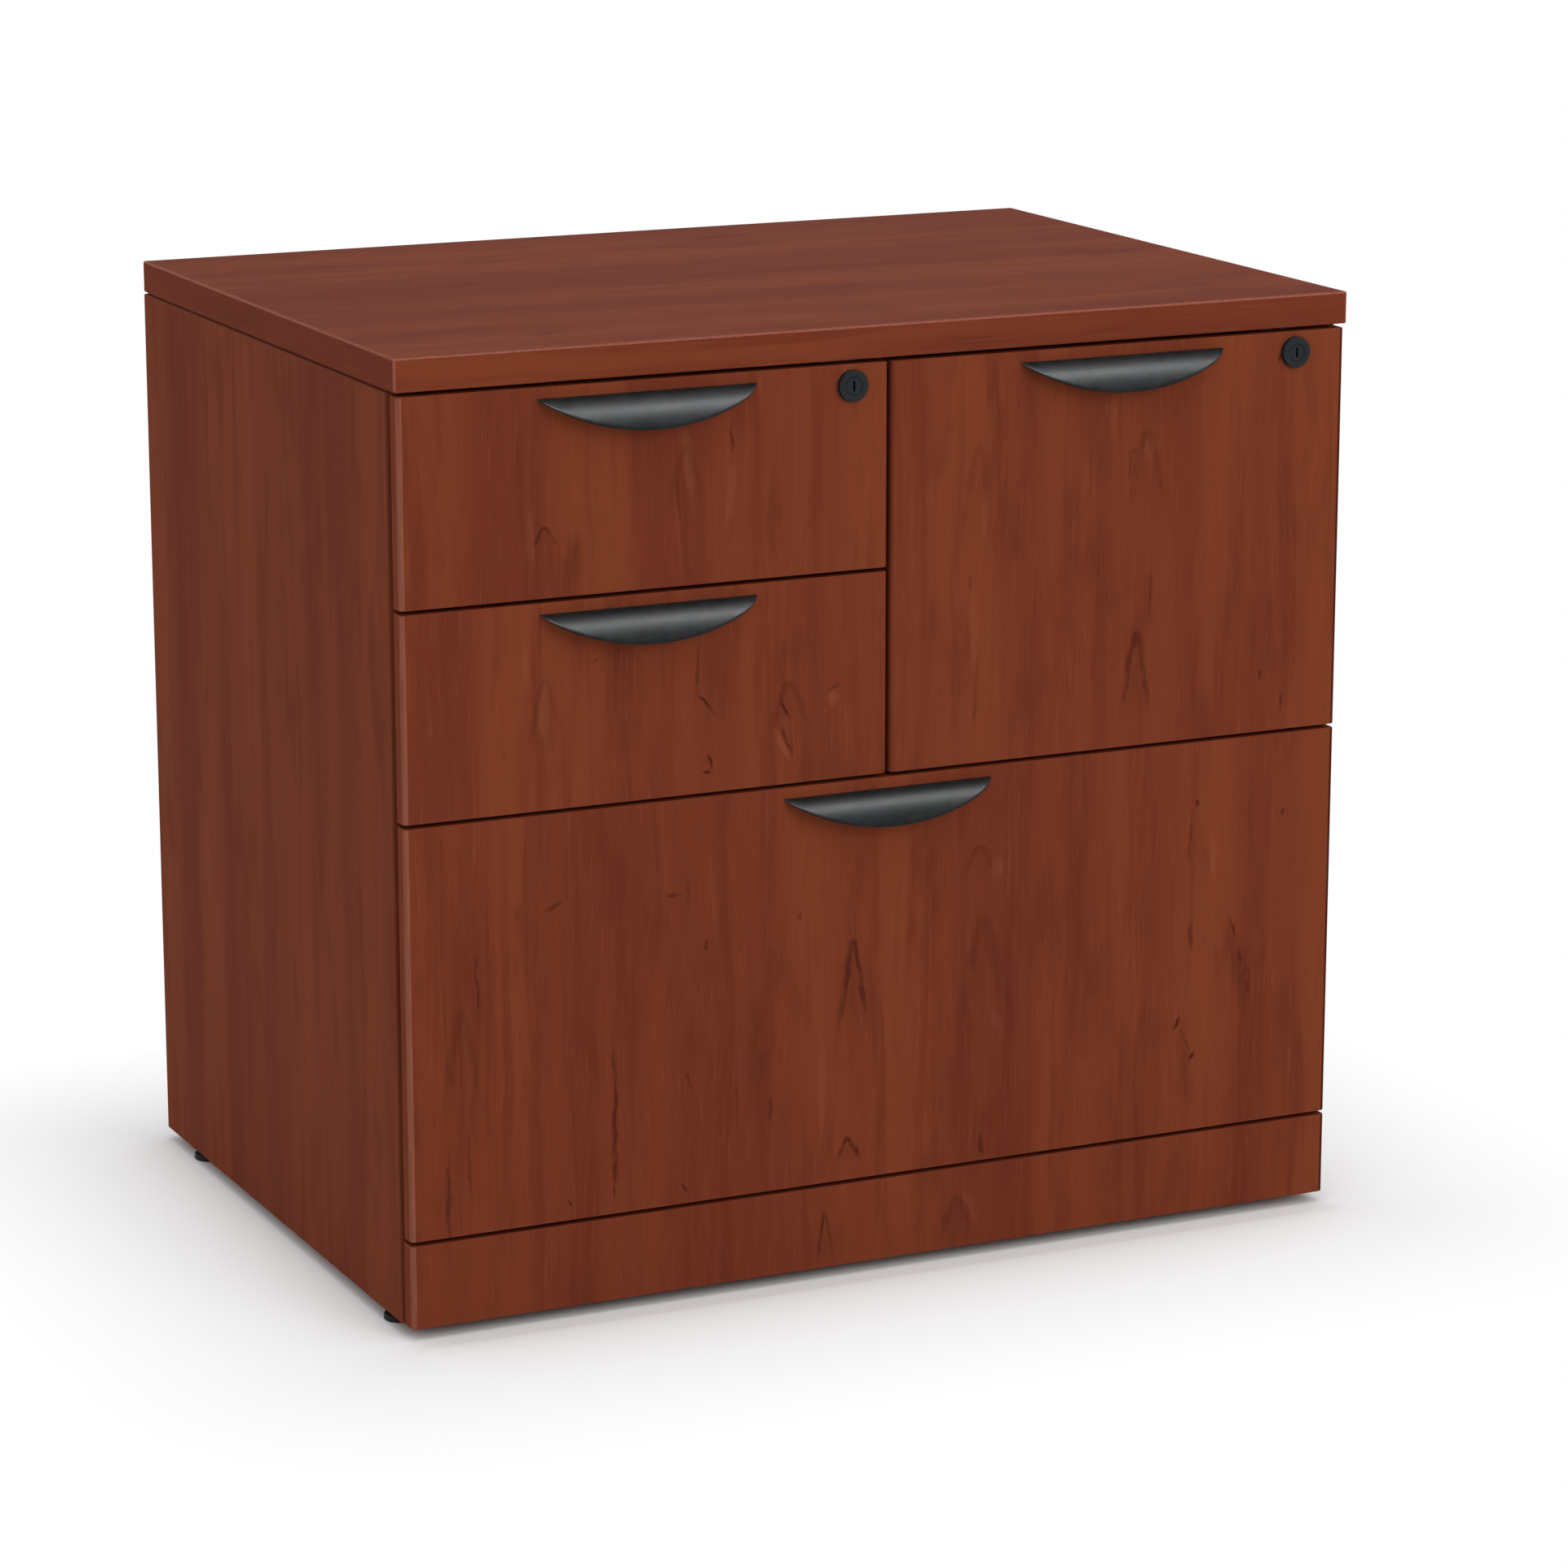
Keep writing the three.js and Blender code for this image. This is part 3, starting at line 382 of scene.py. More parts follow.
def arch(tree, place, x, z, half_width, height, depth):
    """The outline of a growth ring: a point at a place in millimetres, and two legs that spread below."""
    local = add(tree, "ShaderNodeMapping", {
        "Vector": place,
        "Location": (x * MM, 0, z * MM),
        "Scale": (half_width * MM, DEEP, -height * MM),
    }, vector_type="TEXTURE").outputs[0]
    parts = add(tree, "ShaderNodeSeparateXYZ", {0: local}).outputs
    across = add(tree, "ShaderNodeMath", {0: parts[X]}, operation="ABSOLUTE").outputs[0]
    spread = add(tree, "ShaderNodeMath", {0: parts[Z], 1: ARCH_SPREAD}, operation="POWER").outputs[0]
    inside = add(tree, "ShaderNodeMath", {0: spread, 1: across}, operation="SUBTRACT").outputs[0]
    miss = add(tree, "ShaderNodeMath", {0: inside}, operation="ABSOLUTE").outputs[0]
    line = add(tree, "ShaderNodeMapRange", {
        "Value": miss, "From Min": 0.05, "From Max": 0.34, "To Min": depth, "To Max": 0.0,
    }, **SOFT).outputs[0]
    heart = add(tree, "ShaderNodeMapRange", {
        "Value": inside, "From Min": 0.0, "From Max": 0.5, "To Min": 0.0, "To Max": ARCH_HEART * depth,
    }, **SOFT).outputs[0]
    below_point = add(tree, "ShaderNodeMapRange", {
        "Value": parts[Z], "From Min": -0.05, "From Max": 0.03, "To Min": 0.0, "To Max": 1.0,
    }, **SOFT).outputs[0]
    above_foot = add(tree, "ShaderNodeMapRange", {
        "Value": parts[Z], "From Min": 0.55, "From Max": 1.1, "To Min": 1.0, "To Max": 0.0,
    }, **SOFT).outputs[0]
    mark = add(tree, "ShaderNodeMath", {0: line, 1: heart}, operation="MAXIMUM").outputs[0]
    inputs = {0: below_point, 1: above_foot}
    height_share = add(tree, "ShaderNodeMath", inputs, operation="MULTIPLY").outputs[0]
    return add(tree, "ShaderNodeMath", {0: mark, 1: height_share}, operation="MULTIPLY").outputs[0]


def strongest(tree, marks):
    """The strongest of several marks at each place."""
    share = marks[0]
    for mark in marks[1:]:
        share = add(tree, "ShaderNodeMath", {0: share, 1: mark}, operation="MAXIMUM").outputs[0]
    return share


def figure(tree, colour, place, sheet):
    """The print's pale patches, and its dark flecks and arched rings, broken up here and there."""
    pale = strongest(tree, [fleck(tree, place, *row) for row in PATCHES[sheet]])
    colour = stain(tree, colour, "#8C4F35", pale, start=0, end=1)
    marks = [fleck(tree, place, *row) for row in FLECKS[sheet]]
    marks += [arch(tree, place, *row) for row in ARCHES[sheet]]
    breaks = grain_noise(tree, place, Z, across=6, along=18)
    shown = add(tree, "ShaderNodeMapRange", {
        "Value": breaks, "From Min": 0.35, "From Max": 0.55, "To Min": 0.45, "To Max": 1.0,
    }).outputs[0]
    inputs = {0: strongest(tree, marks), 1: shown}
    dark = add(tree, "ShaderNodeMath", inputs, operation="MULTIPLY").outputs[0]
    inputs = {MIX_SHARE: dark, MIX_BASE: colour, MIX_OVER: linear("#2E110A")}
    return add(tree, "ShaderNodeMix", inputs, data_type="RGBA").outputs[MIX_RESULT]


def cherry_laminate(grain, sheet):
    """Melamine laminate printed with cherry and pressed to a suede finish.
    The eye gets broad orange-brown and red-brown bands, finer streaks, thin dark pores and little gloss."""
    name = f"cherry_laminate_{sheet}_along_{'xyz'[grain]}"
    if name in bpy.data.materials:
        return bpy.data.materials[name]
    material, tree, place = new_material(name)
    swayed = wander(tree, place, grain, across=45, along=150, sway=14)
    shift = [s * MM for s in SHEETS[sheet]]
    sheet_place = add(tree, "ShaderNodeMapping", {"Vector": swayed, "Location": shift}).outputs[0]
    bands = grain_noise(tree, sheet_place, grain, across=60, along=1100, detail=1.5)
    streaks = grain_noise(tree, sheet_place, grain, across=12, along=260, detail=3)
    mottle = grain_noise(tree, sheet_place, grain, across=26, along=95, detail=3)
    fibres = grain_noise(tree, sheet_place, grain, across=1.8, along=70)
    pores = grain_noise(tree, sheet_place, grain, across=1.5, along=20)
    suede = add(tree, "ShaderNodeTexNoise", {"Vector": place, "Scale": 1 / (SUEDE_GRIT * MM)}).outputs[0]
    colour = stain(tree, linear("#6C3120"), "#783A23", bands, start=0.32, end=0.68)
    colour = stain(tree, colour, "#622A1C", streaks, start=0.48, end=0.72, depth=0.55)
    colour = stain(tree, colour, "#5E291C", mottle, start=0.52, end=0.76, depth=0.55)
    colour = stain(tree, colour, "#82432C", fibres, start=0.5, end=0.8, depth=0.4)
    colour = stain(tree, colour, "#4A1E14", pores, start=0.68, end=0.78, depth=0.4)
    if grain == Z and sheet in FLECKS:
        figure_place = wander(tree, swayed, grain, across=9, along=18, sway=6)
        colour = figure(tree, colour, figure_place, sheet)
    bump = add(tree, "ShaderNodeBump", {"Height": suede, "Distance": 0.02 * MM, "Strength": 0.3})
    finish_surface(tree, fibres, smooth=0.62, rough=0.7, inputs={
        "Base Color": colour,
        "Specular IOR Level": 0.02,
        "Normal": bump.outputs[0],
    })
    return material


def edge_band(name, colour):
    """PVC edge band on a rounded edge, in a colour that paints light on it: paler as a painted highlight,
    or darker as painted shade.
    The eye gets an even strip with faint drawn lines."""
    material, tree, place = new_material(name)
    drawn = grain_noise(tree, place, Z, across=1.5, along=40)
    finish_surface(tree, drawn, smooth=0.5, rough=0.58, inputs={
        "Base Color": stain(tree, linear(colour), "#5A2A1C", drawn, start=0.4, end=0.7, depth=0.3),
        "Specular IOR Level": 0.01,
    })
    return material


def satin_black():
    """Cast zinc under satin black lacquer.
    The eye gets a soft bright band where it turns up to the light, and near black elsewhere."""
    material, tree, place = new_material("satin_black_lacquer")
    grit = add(tree, "ShaderNodeTexNoise", {"Vector": place, "Scale": 1 / (LACQUER_GRIT * MM)}).outputs[0]
    cloud = add(tree, "ShaderNodeTexNoise", {"Vector": place, "Scale": 1 / (LACQUER_CLOUD * MM)}).outputs[0]
    bump = add(tree, "ShaderNodeBump", {"Height": grit, "Distance": 0.03 * MM, "Strength": 0.3})
    finish_surface(tree, cloud, smooth=0.42, rough=0.48, inputs={
        "Base Color": stain(tree, linear("#0E1113"), "#171A1C", cloud),
        "Specular IOR Level": 0.12,
        "Normal": bump.outputs[0],
    })
    return material


def grained_black(name, colour, roughness):
    """Powder coat on a cast lock, or nylon from a spark-eroded mould.
    The eye gets black, with a fine grain that breaks up the light."""
    material, tree, place = new_material(name)
    grain = add(tree, "ShaderNodeTexNoise", {"Vector": place, "Scale": 1 / (COAT_GRAIN * MM)}).outputs[0]
    bump = add(tree, "ShaderNodeBump", {"Height": grain, "Distance": 0.05 * MM, "Strength": 0.4})
    finish_surface(tree, grain, smooth=roughness, rough=roughness + 0.1, inputs={
        "Base Color": stain(tree, linear(colour), "#2A3033", grain, start=0.4, end=0.8, depth=0.4),
        "Specular IOR Level": 0.2,
        "Normal": bump.outputs[0],
    })
    return material


def zinc_steel():
    """Cold-rolled steel, zinc plated: a cool grey metal with cloudy patches and fine rolling lines."""
    material, tree, place = new_material("zinc_plated_steel")
    patches = add(tree, "ShaderNodeTexNoise", {"Vector": place, "Scale": 1 / (ZINC_PATCH * MM)}).outputs[0]
    lines = grain_noise(tree, place, Y, across=ROLLING_LINE, along=60)
    bump = add(tree, "ShaderNodeBump", {"Height": lines, "Distance": 0.02 * MM, "Strength": 0.3})
    finish_surface(tree, patches, smooth=0.36, rough=0.44, inputs={
        "Base Color": stain(tree, linear("#AFB3B4"), "#C0C3C3", patches),
        "Metallic": 1.0,
        "Normal": bump.outputs[0],
    })
    return material


def birch_veneer(name, grain):
    """Rotary-cut birch face veneer under clear lacquer: pale straw with soft flame and thin brown lines."""
    material, tree, place = new_material(name)
    flame = grain_noise(tree, place, grain, across=26, along=240, detail=3)
    fibres = grain_noise(tree, place, grain, across=1.2, along=45)
    colour = stain(tree, linear("#C9A877"), "#DDC196", flame)
    colour = stain(tree, colour, "#A98251", fibres, start=0.55, end=0.8, depth=0.5)
    bump = add(tree, "ShaderNodeBump", {"Height": fibres, "Distance": 0.04 * MM, "Strength": 0.4})
    finish_surface(tree, fibres, smooth=0.42, rough=0.52, inputs={
        "Base Color": colour,
        "Specular IOR Level": 0.3,
        "Normal": bump.outputs[0],
    })
    return material


def birch_edge(name, across):
    """Sanded edge of birch plywood: light and dark layers side by side through the thickness."""
    material, tree, place = new_material(name)
    layer = PLYWOOD_THICKNESS * MM / PLYWOOD_LAYERS
    depth = add(tree, "ShaderNodeSeparateXYZ", {0: place}).outputs[across]
    wave = add(tree, "ShaderNodeMath", {0: depth, 1: layer}, operation="PINGPONG").outputs[0]
    fibres = grain_noise(tree, place, Y, across=0.9, along=14)
    colour = stain(tree, linear("#D6BB90"), "#A27A4C", wave, start=layer * 0.4, end=layer * 0.6)
    colour = stain(tree, colour, "#8A6238", fibres, start=0.55, end=0.8, depth=0.5)
    bump = add(tree, "ShaderNodeBump", {"Height": fibres, "Distance": 0.06 * MM, "Strength": 0.4})
    finish_surface(tree, fibres, smooth=0.55, rough=0.65, inputs={
        "Base Color": colour,
        "Normal": bump.outputs[0],
    })
    return material


def hardboard():
    """Hardboard with its smooth face up: an even mid brown, short matted fibres and a dull sheen."""
    material, tree, place = new_material("smooth_hardboard")
    inputs = {"Vector": place, "Scale": 1 / (HARDBOARD_CLOUD * MM)}
    cloud = add(tree, "ShaderNodeTexNoise", inputs).outputs[0]
    inputs = {"Vector": place, "Scale": 1 / (HARDBOARD_FIBRE * MM), "Detail": 4.0}
    fibres = add(tree, "ShaderNodeTexNoise", inputs).outputs[0]
    colour = stain(tree, linear("#AC875D"), "#B58F66", cloud)
    colour = stain(tree, colour, "#86643F", fibres, start=0.52, end=0.72, depth=0.5)
    bump = add(tree, "ShaderNodeBump", {"Height": fibres, "Distance": 0.05 * MM, "Strength": 0.4})
    finish_surface(tree, fibres, smooth=0.5, rough=0.62, inputs={
        "Base Color": colour,
        "Specular IOR Level": 0.3,
        "Normal": bump.outputs[0],
    })
    return material


def rubber():
    """Moulded grey rubber: dull, slightly mottled."""
    material, tree, place = new_material("grey_rubber")
    inputs = {"Vector": place, "Scale": 1 / (RUBBER_MOTTLE * MM)}
    mottle = add(tree, "ShaderNodeTexNoise", inputs).outputs[0]
    finish_surface(tree, mottle, smooth=0.75, rough=0.85, inputs={
        "Base Color": stain(tree, linear("#3A3A3A"), "#4A4A4A", mottle),
    })
    return material


def add_piece(name, mesh, materials, body, nodes=()):
    """Makes a piece from a finished bmesh. It rides on a body and may stand for CAD nodes."""
    data = bpy.data.meshes.new(name)
    mesh.to_mesh(data)
    mesh.free()
    for material in materials:
        data.materials.append(material)
    piece = bpy.data.objects.new(name, data)
    bpy.context.scene.collection.objects.link(piece)
    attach(piece, body)
    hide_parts(*nodes)
    return piece


def soften(mesh):
    """Shades a mesh smooth, except over its sharp edges."""
    for face in mesh.faces:
        face.smooth = True
    for edge in mesh.edges:
        edge.smooth = edge.calc_face_angle(0) < SHARP_ANGLE


def looks_along(face):
    """The axis that a face looks along most."""
    normal = [abs(n) for n in face.normal]
    return normal.index(max(normal))


def is_round(face):
    """Whether a face of a board lies on a rounded edge."""
    return max(abs(n) for n in face.normal) < FLAT_NORMAL


def round_edges(mesh, edges, radius):
    """Rounds edges by a radius in millimetres."""
    bmesh.ops.bevel(
        mesh, geom=edges, offset=radius * MM, affect="EDGES",
        segments=EDGE_SEGMENTS, profile=0.5, material=-1,
    )


def add_board(mesh, low, high, radius, upright_radius=None):
    """Adds a board with rounded edges, its upright edges by a radius of their own, and gives its faces."""
    earlier = set(mesh.faces)
    corners = bmesh.ops.create_cube(mesh, size=1.0)["verts"]
    bmesh.ops.scale(mesh, vec=high - low, verts=corners)
    bmesh.ops.translate(mesh, vec=(low + high) / 2, verts=corners)
    edges = {edge for corner in corners for edge in corner.link_edges}
    if upright_radius:
        uprights = [edge for edge in edges if abs(edge.verts[0].co.z - edge.verts[1].co.z) > MM]
        round_edges(mesh, uprights, upright_radius)
        flats = [face for face in set(mesh.faces) - earlier if abs(face.normal.z) > FLAT_NORMAL]
        edges = {edge for face in flats for edge in face.edges}
    round_edges(mesh, list(edges), radius)
    faces = set(mesh.faces) - earlier
    for face in faces:
        face.smooth = is_round(face)
    return faces


def raise_tongue(mesh, height):
    """Raises the middle of a board's upper edge up to the top, inside the shadow gap that runs round it."""
    upper = max(mesh.faces, key=lambda face: face.calc_center_median().z)
    bmesh.ops.inset_region(mesh, faces=[upper], thickness=TONGUE_INSET * MM, use_even_offset=True)
    bmesh.ops.inset_region(
        mesh, faces=[upper], thickness=TONGUE_SLOPE * MM, depth=height * MM, use_even_offset=True
    )


def case_panel(node, grain, sheet, line, radius=PANEL_RADIUS, trim=0):
    """A board of the case in place of its CAD node, its rounded edges paler than its faces as a painted
    highlight, except where they turn to the floor.
    One that is trimmed leaves a shadow gap of that many millimetres under the top."""
    low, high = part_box(node)
    high.z -= trim * MM
    size = high - low
    across = max((axis for axis in range(3) if axis != grain), key=lambda axis: size[axis])
    mesh = bmesh.new()
    for face in add_board(mesh, low, high, radius):
        face.material_index = EDGE if looks_along(face) == grain else FACE
        # Rounded edges that don't face the floor get a painted highlight.
        if is_round(face) and face.normal.z > UNDERSIDE_NORMAL:
            face.material_index = PAINTED_HIGHLIGHT_EDGE
    if trim:
        raise_tongue(mesh, trim)
    materials = [cherry_laminate(grain, sheet), cherry_laminate(across, sheet), line]
    add_piece(f"{node}_board", mesh, materials, "case", [node])


def front_board(node, body, sheet):
    """A drawer front or the kick plate, its upright edges the rounder ones.
    Its upright rounded edges at the case's ends carry a painted highlight at the left end and painted shade
    at the right end."""
    low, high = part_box(node)
    mesh = bmesh.new()
    for face in add_board(mesh, low, high, FRONT_RADIUS, FRONT_END_RADIUS):
        face.material_index = EDGE if looks_along(face) == Z else FACE
        at_case_end = abs(face.calc_center_median().x) > cad_box[1].x / 2
        # Upright rounded edges at the case's ends: painted highlight where they face left, painted shade
        # where they face right.
        if is_round(face) and abs(face.normal.z) < UPRIGHT_NORMAL and at_case_end:
            face.material_index = PAINTED_HIGHLIGHT_EDGE if face.normal.x < 0 else PAINTED_SHADE_EDGE
    materials = [cherry_laminate(Z, sheet), cherry_laminate(X, sheet), FRONT_PAINTED_HIGHLIGHT, FRONT_PAINTED_SHADE]
    add_piece(f"{node}_board", mesh, materials, body, [node])


def drawer_box(drawer):
    """Four plywood walls, the sides full length with the front and back walls between them."""
    low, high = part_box(f"{drawer}_walls")
    wall = PLYWOOD_THICKNESS * MM
    gap = JOINT_LINE * MM
    mesh = bmesh.new()
    for x in (low.x, high.x - wall):
        start = Vector((x, low.y, low.z))
        end = Vector((x + wall, high.y, high.z))
        for face in add_board(mesh, start, end, PLYWOOD_RADIUS):
            face.material_index = SIDE_FACE if looks_along(face) == X else SIDE_EDGE
    for y in (low.y, high.y - wall):
        start = Vector((low.x + wall + gap, y + gap, low.z))
        end = Vector((high.x - wall - gap, y + wall - gap, high.z))
        for face in add_board(mesh, start, end, PLYWOOD_RADIUS):
            face.material_index = END_FACE if looks_along(face) == Y else END_EDGE
    materials = [VENEER_ALONG_Y, EDGE_ACROSS_X, VENEER_ALONG_X, EDGE_ACROSS_Y]
    add_piece(f"{drawer}_box", mesh, materials, drawer, [f"{drawer}_walls"])


def lip_drop(along, half_length):
    """How far the lip hangs below the straight edge, in millimetres, at a share of its half length."""
    rise = PULL_DROP - PULL_TIP
    radius = (half_length ** 2 + rise ** 2) / (2 * rise)
    return PULL_DROP - radius + math.sqrt(radius ** 2 - (along * half_length) ** 2)


def hood_section(share, drop):
    """A point on the hood's oval section, out and down in millimetres.
    The share of its path runs down the outside to the lip, round the lip and back up the inside."""
    wall = min(PULL_WALL, PULL_TIP_WALL * drop)
    lip_angle = math.acos(1 - (drop - wall / 2) / PULL_DROP)
    inset, angle, beyond = 0, lip_angle, 0
    if share <= PULL_OUTSIDE:
        angle = lip_angle * share / PULL_OUTSIDE
    elif share < PULL_LIP:
        turn = math.pi * (share - PULL_OUTSIDE) / (PULL_LIP - PULL_OUTSIDE)
        inset = wall / 2 * (1 - math.cos(turn))
        beyond = wall / 2 * math.sin(turn)
    else:
        inset = wall
        angle = lip_angle * (1 - share) / (1 - PULL_LIP)
    out = (PULL_DEPTH - inset) * math.sin(angle) + beyond * math.cos(angle)
    down = PULL_DROP - (PULL_DROP - inset) * math.cos(angle) + beyond * math.sin(angle)
    taper = 1 - (1 - drop / PULL_DROP) ** PULL_TAPER
    return out * taper, down


def wall_middle(down):
    """How far out the middle of the hood's wall lies at a depth below its straight edge, in millimetres."""
    inset = PULL_WALL / 2
    return (PULL_DEPTH - inset) * math.sqrt(1 - ((PULL_DROP - down) / (PULL_DROP - inset)) ** 2)


def pull_boss(mesh, foot, top):
    """Adds a round screw boss that runs from its foot on the front into the wall of the hood."""
    radius = PULL_BOSS_RADIUS * MM
    shape = bmesh.ops.create_cone(
        mesh, cap_ends=True, segments=BOSS_STEPS, radius1=radius, radius2=radius, depth=MM,
        matrix=Matrix.Translation(foot) @ Matrix.Rotation(math.pi / 2, 4, "X"),
    )
    for vert in shape["verts"]:
        reach = wall_middle((top - vert.co.z) / MM) * MM if vert.co.y < foot.y else 0
        vert.co.y = foot.y - reach


def pull_hood(drawer):
    """A cast hood that swells out from its straight upper edge to an arched lip, pointed at both ends."""
    low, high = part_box(f"{drawer}_pull")
    middle = (low.x + high.x) / 2
    half_length = (high.x - low.x) / 2
    face_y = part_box(f"{drawer}_front")[0].y
    mesh = bmesh.new()
    bmesh.ops.create_grid(mesh, x_segments=PULL_STEPS, y_segments=SECTION_STEPS, size=1.0)
    rims = [edge for edge in mesh.edges if all(abs(vert.co.y) > RIM_SHARE for vert in edge.verts)]
    # The sine makes the steps finer towards the tips.
    for vert in mesh.verts:
        along = math.sin(vert.co.x * math.pi / 2)
        out, down = hood_section((vert.co.y + 1) / 2, lip_drop(along, half_length / MM))
        vert.co = (middle + along * half_length, face_y - out * MM, high.z - down * MM)
    bmesh.ops.bridge_loops(mesh, edges=rims)
    bmesh.ops.holes_fill(mesh, edges=[edge for edge in mesh.edges if edge.is_boundary])
    for spread in (-PULL_BOSS_SPREAD, PULL_BOSS_SPREAD):
        foot = Vector((middle + spread * MM, face_y, high.z - PULL_BOSS_DROP * MM))
        pull_boss(mesh, foot, high.z)
    bmesh.ops.recalc_face_normals(mesh, faces=mesh.faces[:])
    soften(mesh)
    hood = add_piece(f"{drawer}_hood", mesh, [SATIN_BLACK], drawer, [f"{drawer}_pull"])
    PULLS.objects.link(hood)


def turn_outline(mesh, outline, centre, axis, steps):
    """Spins an outline of radius and height, in millimetres, full round an axis through a centre."""
    across = Vector((1, 0, 0)) if axis.z else UPWARD
    verts = []
    for radius, height in outline:
        verts.append(mesh.verts.new(centre + across * radius * MM + axis * height * MM))
    pairs = list(zip(verts, verts[1:]))
    if outline[0][0] > 0:
        pairs.append((verts[-1], verts[0]))
    edges = [mesh.edges.new(pair) for pair in pairs]
    bmesh.ops.spin(
        mesh, geom=verts + edges, cent=centre, axis=axis, angle=2 * math.pi, steps=steps, use_merge=True
    )
    bmesh.ops.remove_doubles(mesh, verts=mesh.verts[:], dist=MERGE_DISTANCE * MM)
    bmesh.ops.recalc_face_normals(mesh, faces=mesh.faces[:])


def quarter_round(radius, height, size, start):
    """Points of a quarter round about a middle at this radius and height, from a start in quarter turns."""
    angles = [(start + step / EDGE_SEGMENTS) * math.pi / 2 for step in range(EDGE_SEGMENTS + 1)]
    return [(radius + size * math.cos(angle), height + size * math.sin(angle)) for angle in angles]


def lock_axis(hand):
    """The middle of a lock's axis on the face of its drawer front."""
    low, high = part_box(f"lock_barrel_{hand}")
    face_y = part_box(f"{LOCKS[hand]}_front")[0].y
    return Vector(((low.x + high.x) / 2, face_y, (low.z + high.z) / 2))


def lock_barrel(hand):
    """A turned barrel with a round-edged head and a chamfered bore."""
    rim = LOCK_HEAD_RADIUS - LOCK_HEAD_ROUND
    face = -LOCK_HEAD_PROUD
    outline = [
        (LOCK_BORE_RADIUS, LOCK_BARREL_END),
        (LOCK_BORE_RADIUS, face + LOCK_BORE_CHAMFER),
        (LOCK_BORE_RADIUS + LOCK_BORE_CHAMFER, face),
        *quarter_round(rim, face + LOCK_HEAD_ROUND, LOCK_HEAD_ROUND, 3),
        (LOCK_HEAD_RADIUS, -JOINT_LINE),
        (LOCK_BARREL_RADIUS, -JOINT_LINE),
        (LOCK_BARREL_RADIUS, LOCK_BARREL_END),
    ]
    mesh = bmesh.new()
    turn_outline(mesh, outline, lock_axis(hand), BACKWARD, LOCK_STEPS)
    soften(mesh)
    add_piece(f"lock_head_{hand}", mesh, [LOCK_BLACK], LOCKS[hand], [f"lock_barrel_{hand}"])


def lock_nut(hand):
    """A hexagon nut that clamps the barrel from behind the front."""
    centre = lock_axis(hand)
    centre.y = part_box(f"{LOCKS[hand]}_front")[1].y
    outer = NUT_FLATS / 2
    outline = [
        (NUT_BORE_RADIUS, 0),
        (outer, 0),
        (outer, NUT_THICKNESS - NUT_CHAMFER),
        (outer - NUT_CHAMFER, NUT_THICKNESS),
        (NUT_BORE_RADIUS, NUT_THICKNESS),
    ]
    mesh = bmesh.new()
    turn_outline(mesh, outline, centre, BACKWARD, NUT_STEPS)
    for vert in mesh.verts:
        arm = vert.co - centre
        arm.y = 0
        if arm.length > (outer - NUT_CHAMFER / 2) * MM:
            corner = math.atan2(arm.z, arm.x) % (math.pi / 3) - math.pi / 6
            vert.co += arm * (1 / math.cos(corner) - 1)
    soften(mesh)
    add_piece(f"lock_nut_{hand}", mesh, [ZINC], LOCKS[hand])


def shape_keyway(verts):
    """Draws a unit circle in to the keyway's outline, an upright slot with rounded corners."""
    for vert in verts:
        x, y = vert.co.x, vert.co.y
        vert.co.x = math.copysign(abs(x) ** KEYWAY_ROUND_ACROSS, x) * KEYWAY_WIDTH / 2 * MM
        vert.co.y = math.copysign(abs(y) ** KEYWAY_ROUND_UP, y) * KEYWAY_HEIGHT / 2 * MM


def sink_loop(mesh, loop, depth):
    """Draws a loop of edges back by a depth in millimetres, and closes its far end."""
    walls = bmesh.ops.extrude_edge_only(mesh, edges=loop)["geom"]
    far_verts = [item for item in walls if isinstance(item, bmesh.types.BMVert)]
    bmesh.ops.translate(mesh, vec=(0, 0, -depth * MM), verts=far_verts)
    far_edges = [item for item in walls if isinstance(item, bmesh.types.BMEdge) and item.is_boundary]
    bmesh.ops.holes_fill(mesh, edges=far_edges)


def lock_plug(hand):
    """The keyed plug: a round face with an upright keyway, and the square spigot that carries the cam."""
    mesh = bmesh.new()
    rim = bmesh.ops.create_circle(mesh, segments=LOCK_STEPS, radius=LOCK_PLUG_RADIUS * MM)["verts"]
    keyway = bmesh.ops.create_circle(mesh, segments=LOCK_STEPS, radius=1.0)["verts"]
    shape_keyway(keyway)
    loops = [[edge for edge in mesh.edges if edge.verts[0] in loop] for loop in (set(rim), set(keyway))]
    bmesh.ops.bridge_loops(mesh, edges=loops[0] + loops[1])
    proud = LOCK_HEAD_PROUD - LOCK_PLUG_RECESS
    length = proud + LOCK_BARREL_END
    for loop, depth in zip(loops, (length, KEYWAY_DEPTH)):
        sink_loop(mesh, loop, depth)
    spigot = bmesh.ops.create_cube(mesh, size=1.0)["verts"]
    bmesh.ops.scale(mesh, vec=Vector((SPIGOT_SIDE, SPIGOT_SIDE, SPIGOT_LENGTH)) * MM, verts=spigot)
    bmesh.ops.translate(mesh, vec=(0, 0, -(length + SPIGOT_LENGTH / 2) * MM), verts=spigot)
    face = lock_axis(hand) - BACKWARD * proud * MM
    place = Matrix.Translation(face) @ Matrix.Rotation(math.pi / 2, 4, "X")
    bmesh.ops.transform(mesh, matrix=place, verts=mesh.verts[:])
    bmesh.ops.recalc_face_normals(mesh, faces=mesh.faces[:])
    soften(mesh)
    name = f"lock_key_plug_{hand}"
    add_piece(name, mesh, [LOCK_BLACK], f"lock_{hand}", [f"lock_plug_{hand}"])


def add_button(mesh, profile, radius, height, centre, axis):
    """Adds a small round head that stands on a face, its profile in shares of its radius and height."""
    outline = [(out * radius, up * height) for out, up in profile]
    turn_outline(mesh, outline, centre, axis, BUTTON_STEPS)


def add_screw(mesh, centre, axis):
    """Adds a pan-head screw's head that stands on a face."""
    add_button(mesh, SCREW_PROFILE, SCREW_RADIUS, SCREW_HEIGHT, centre, axis)


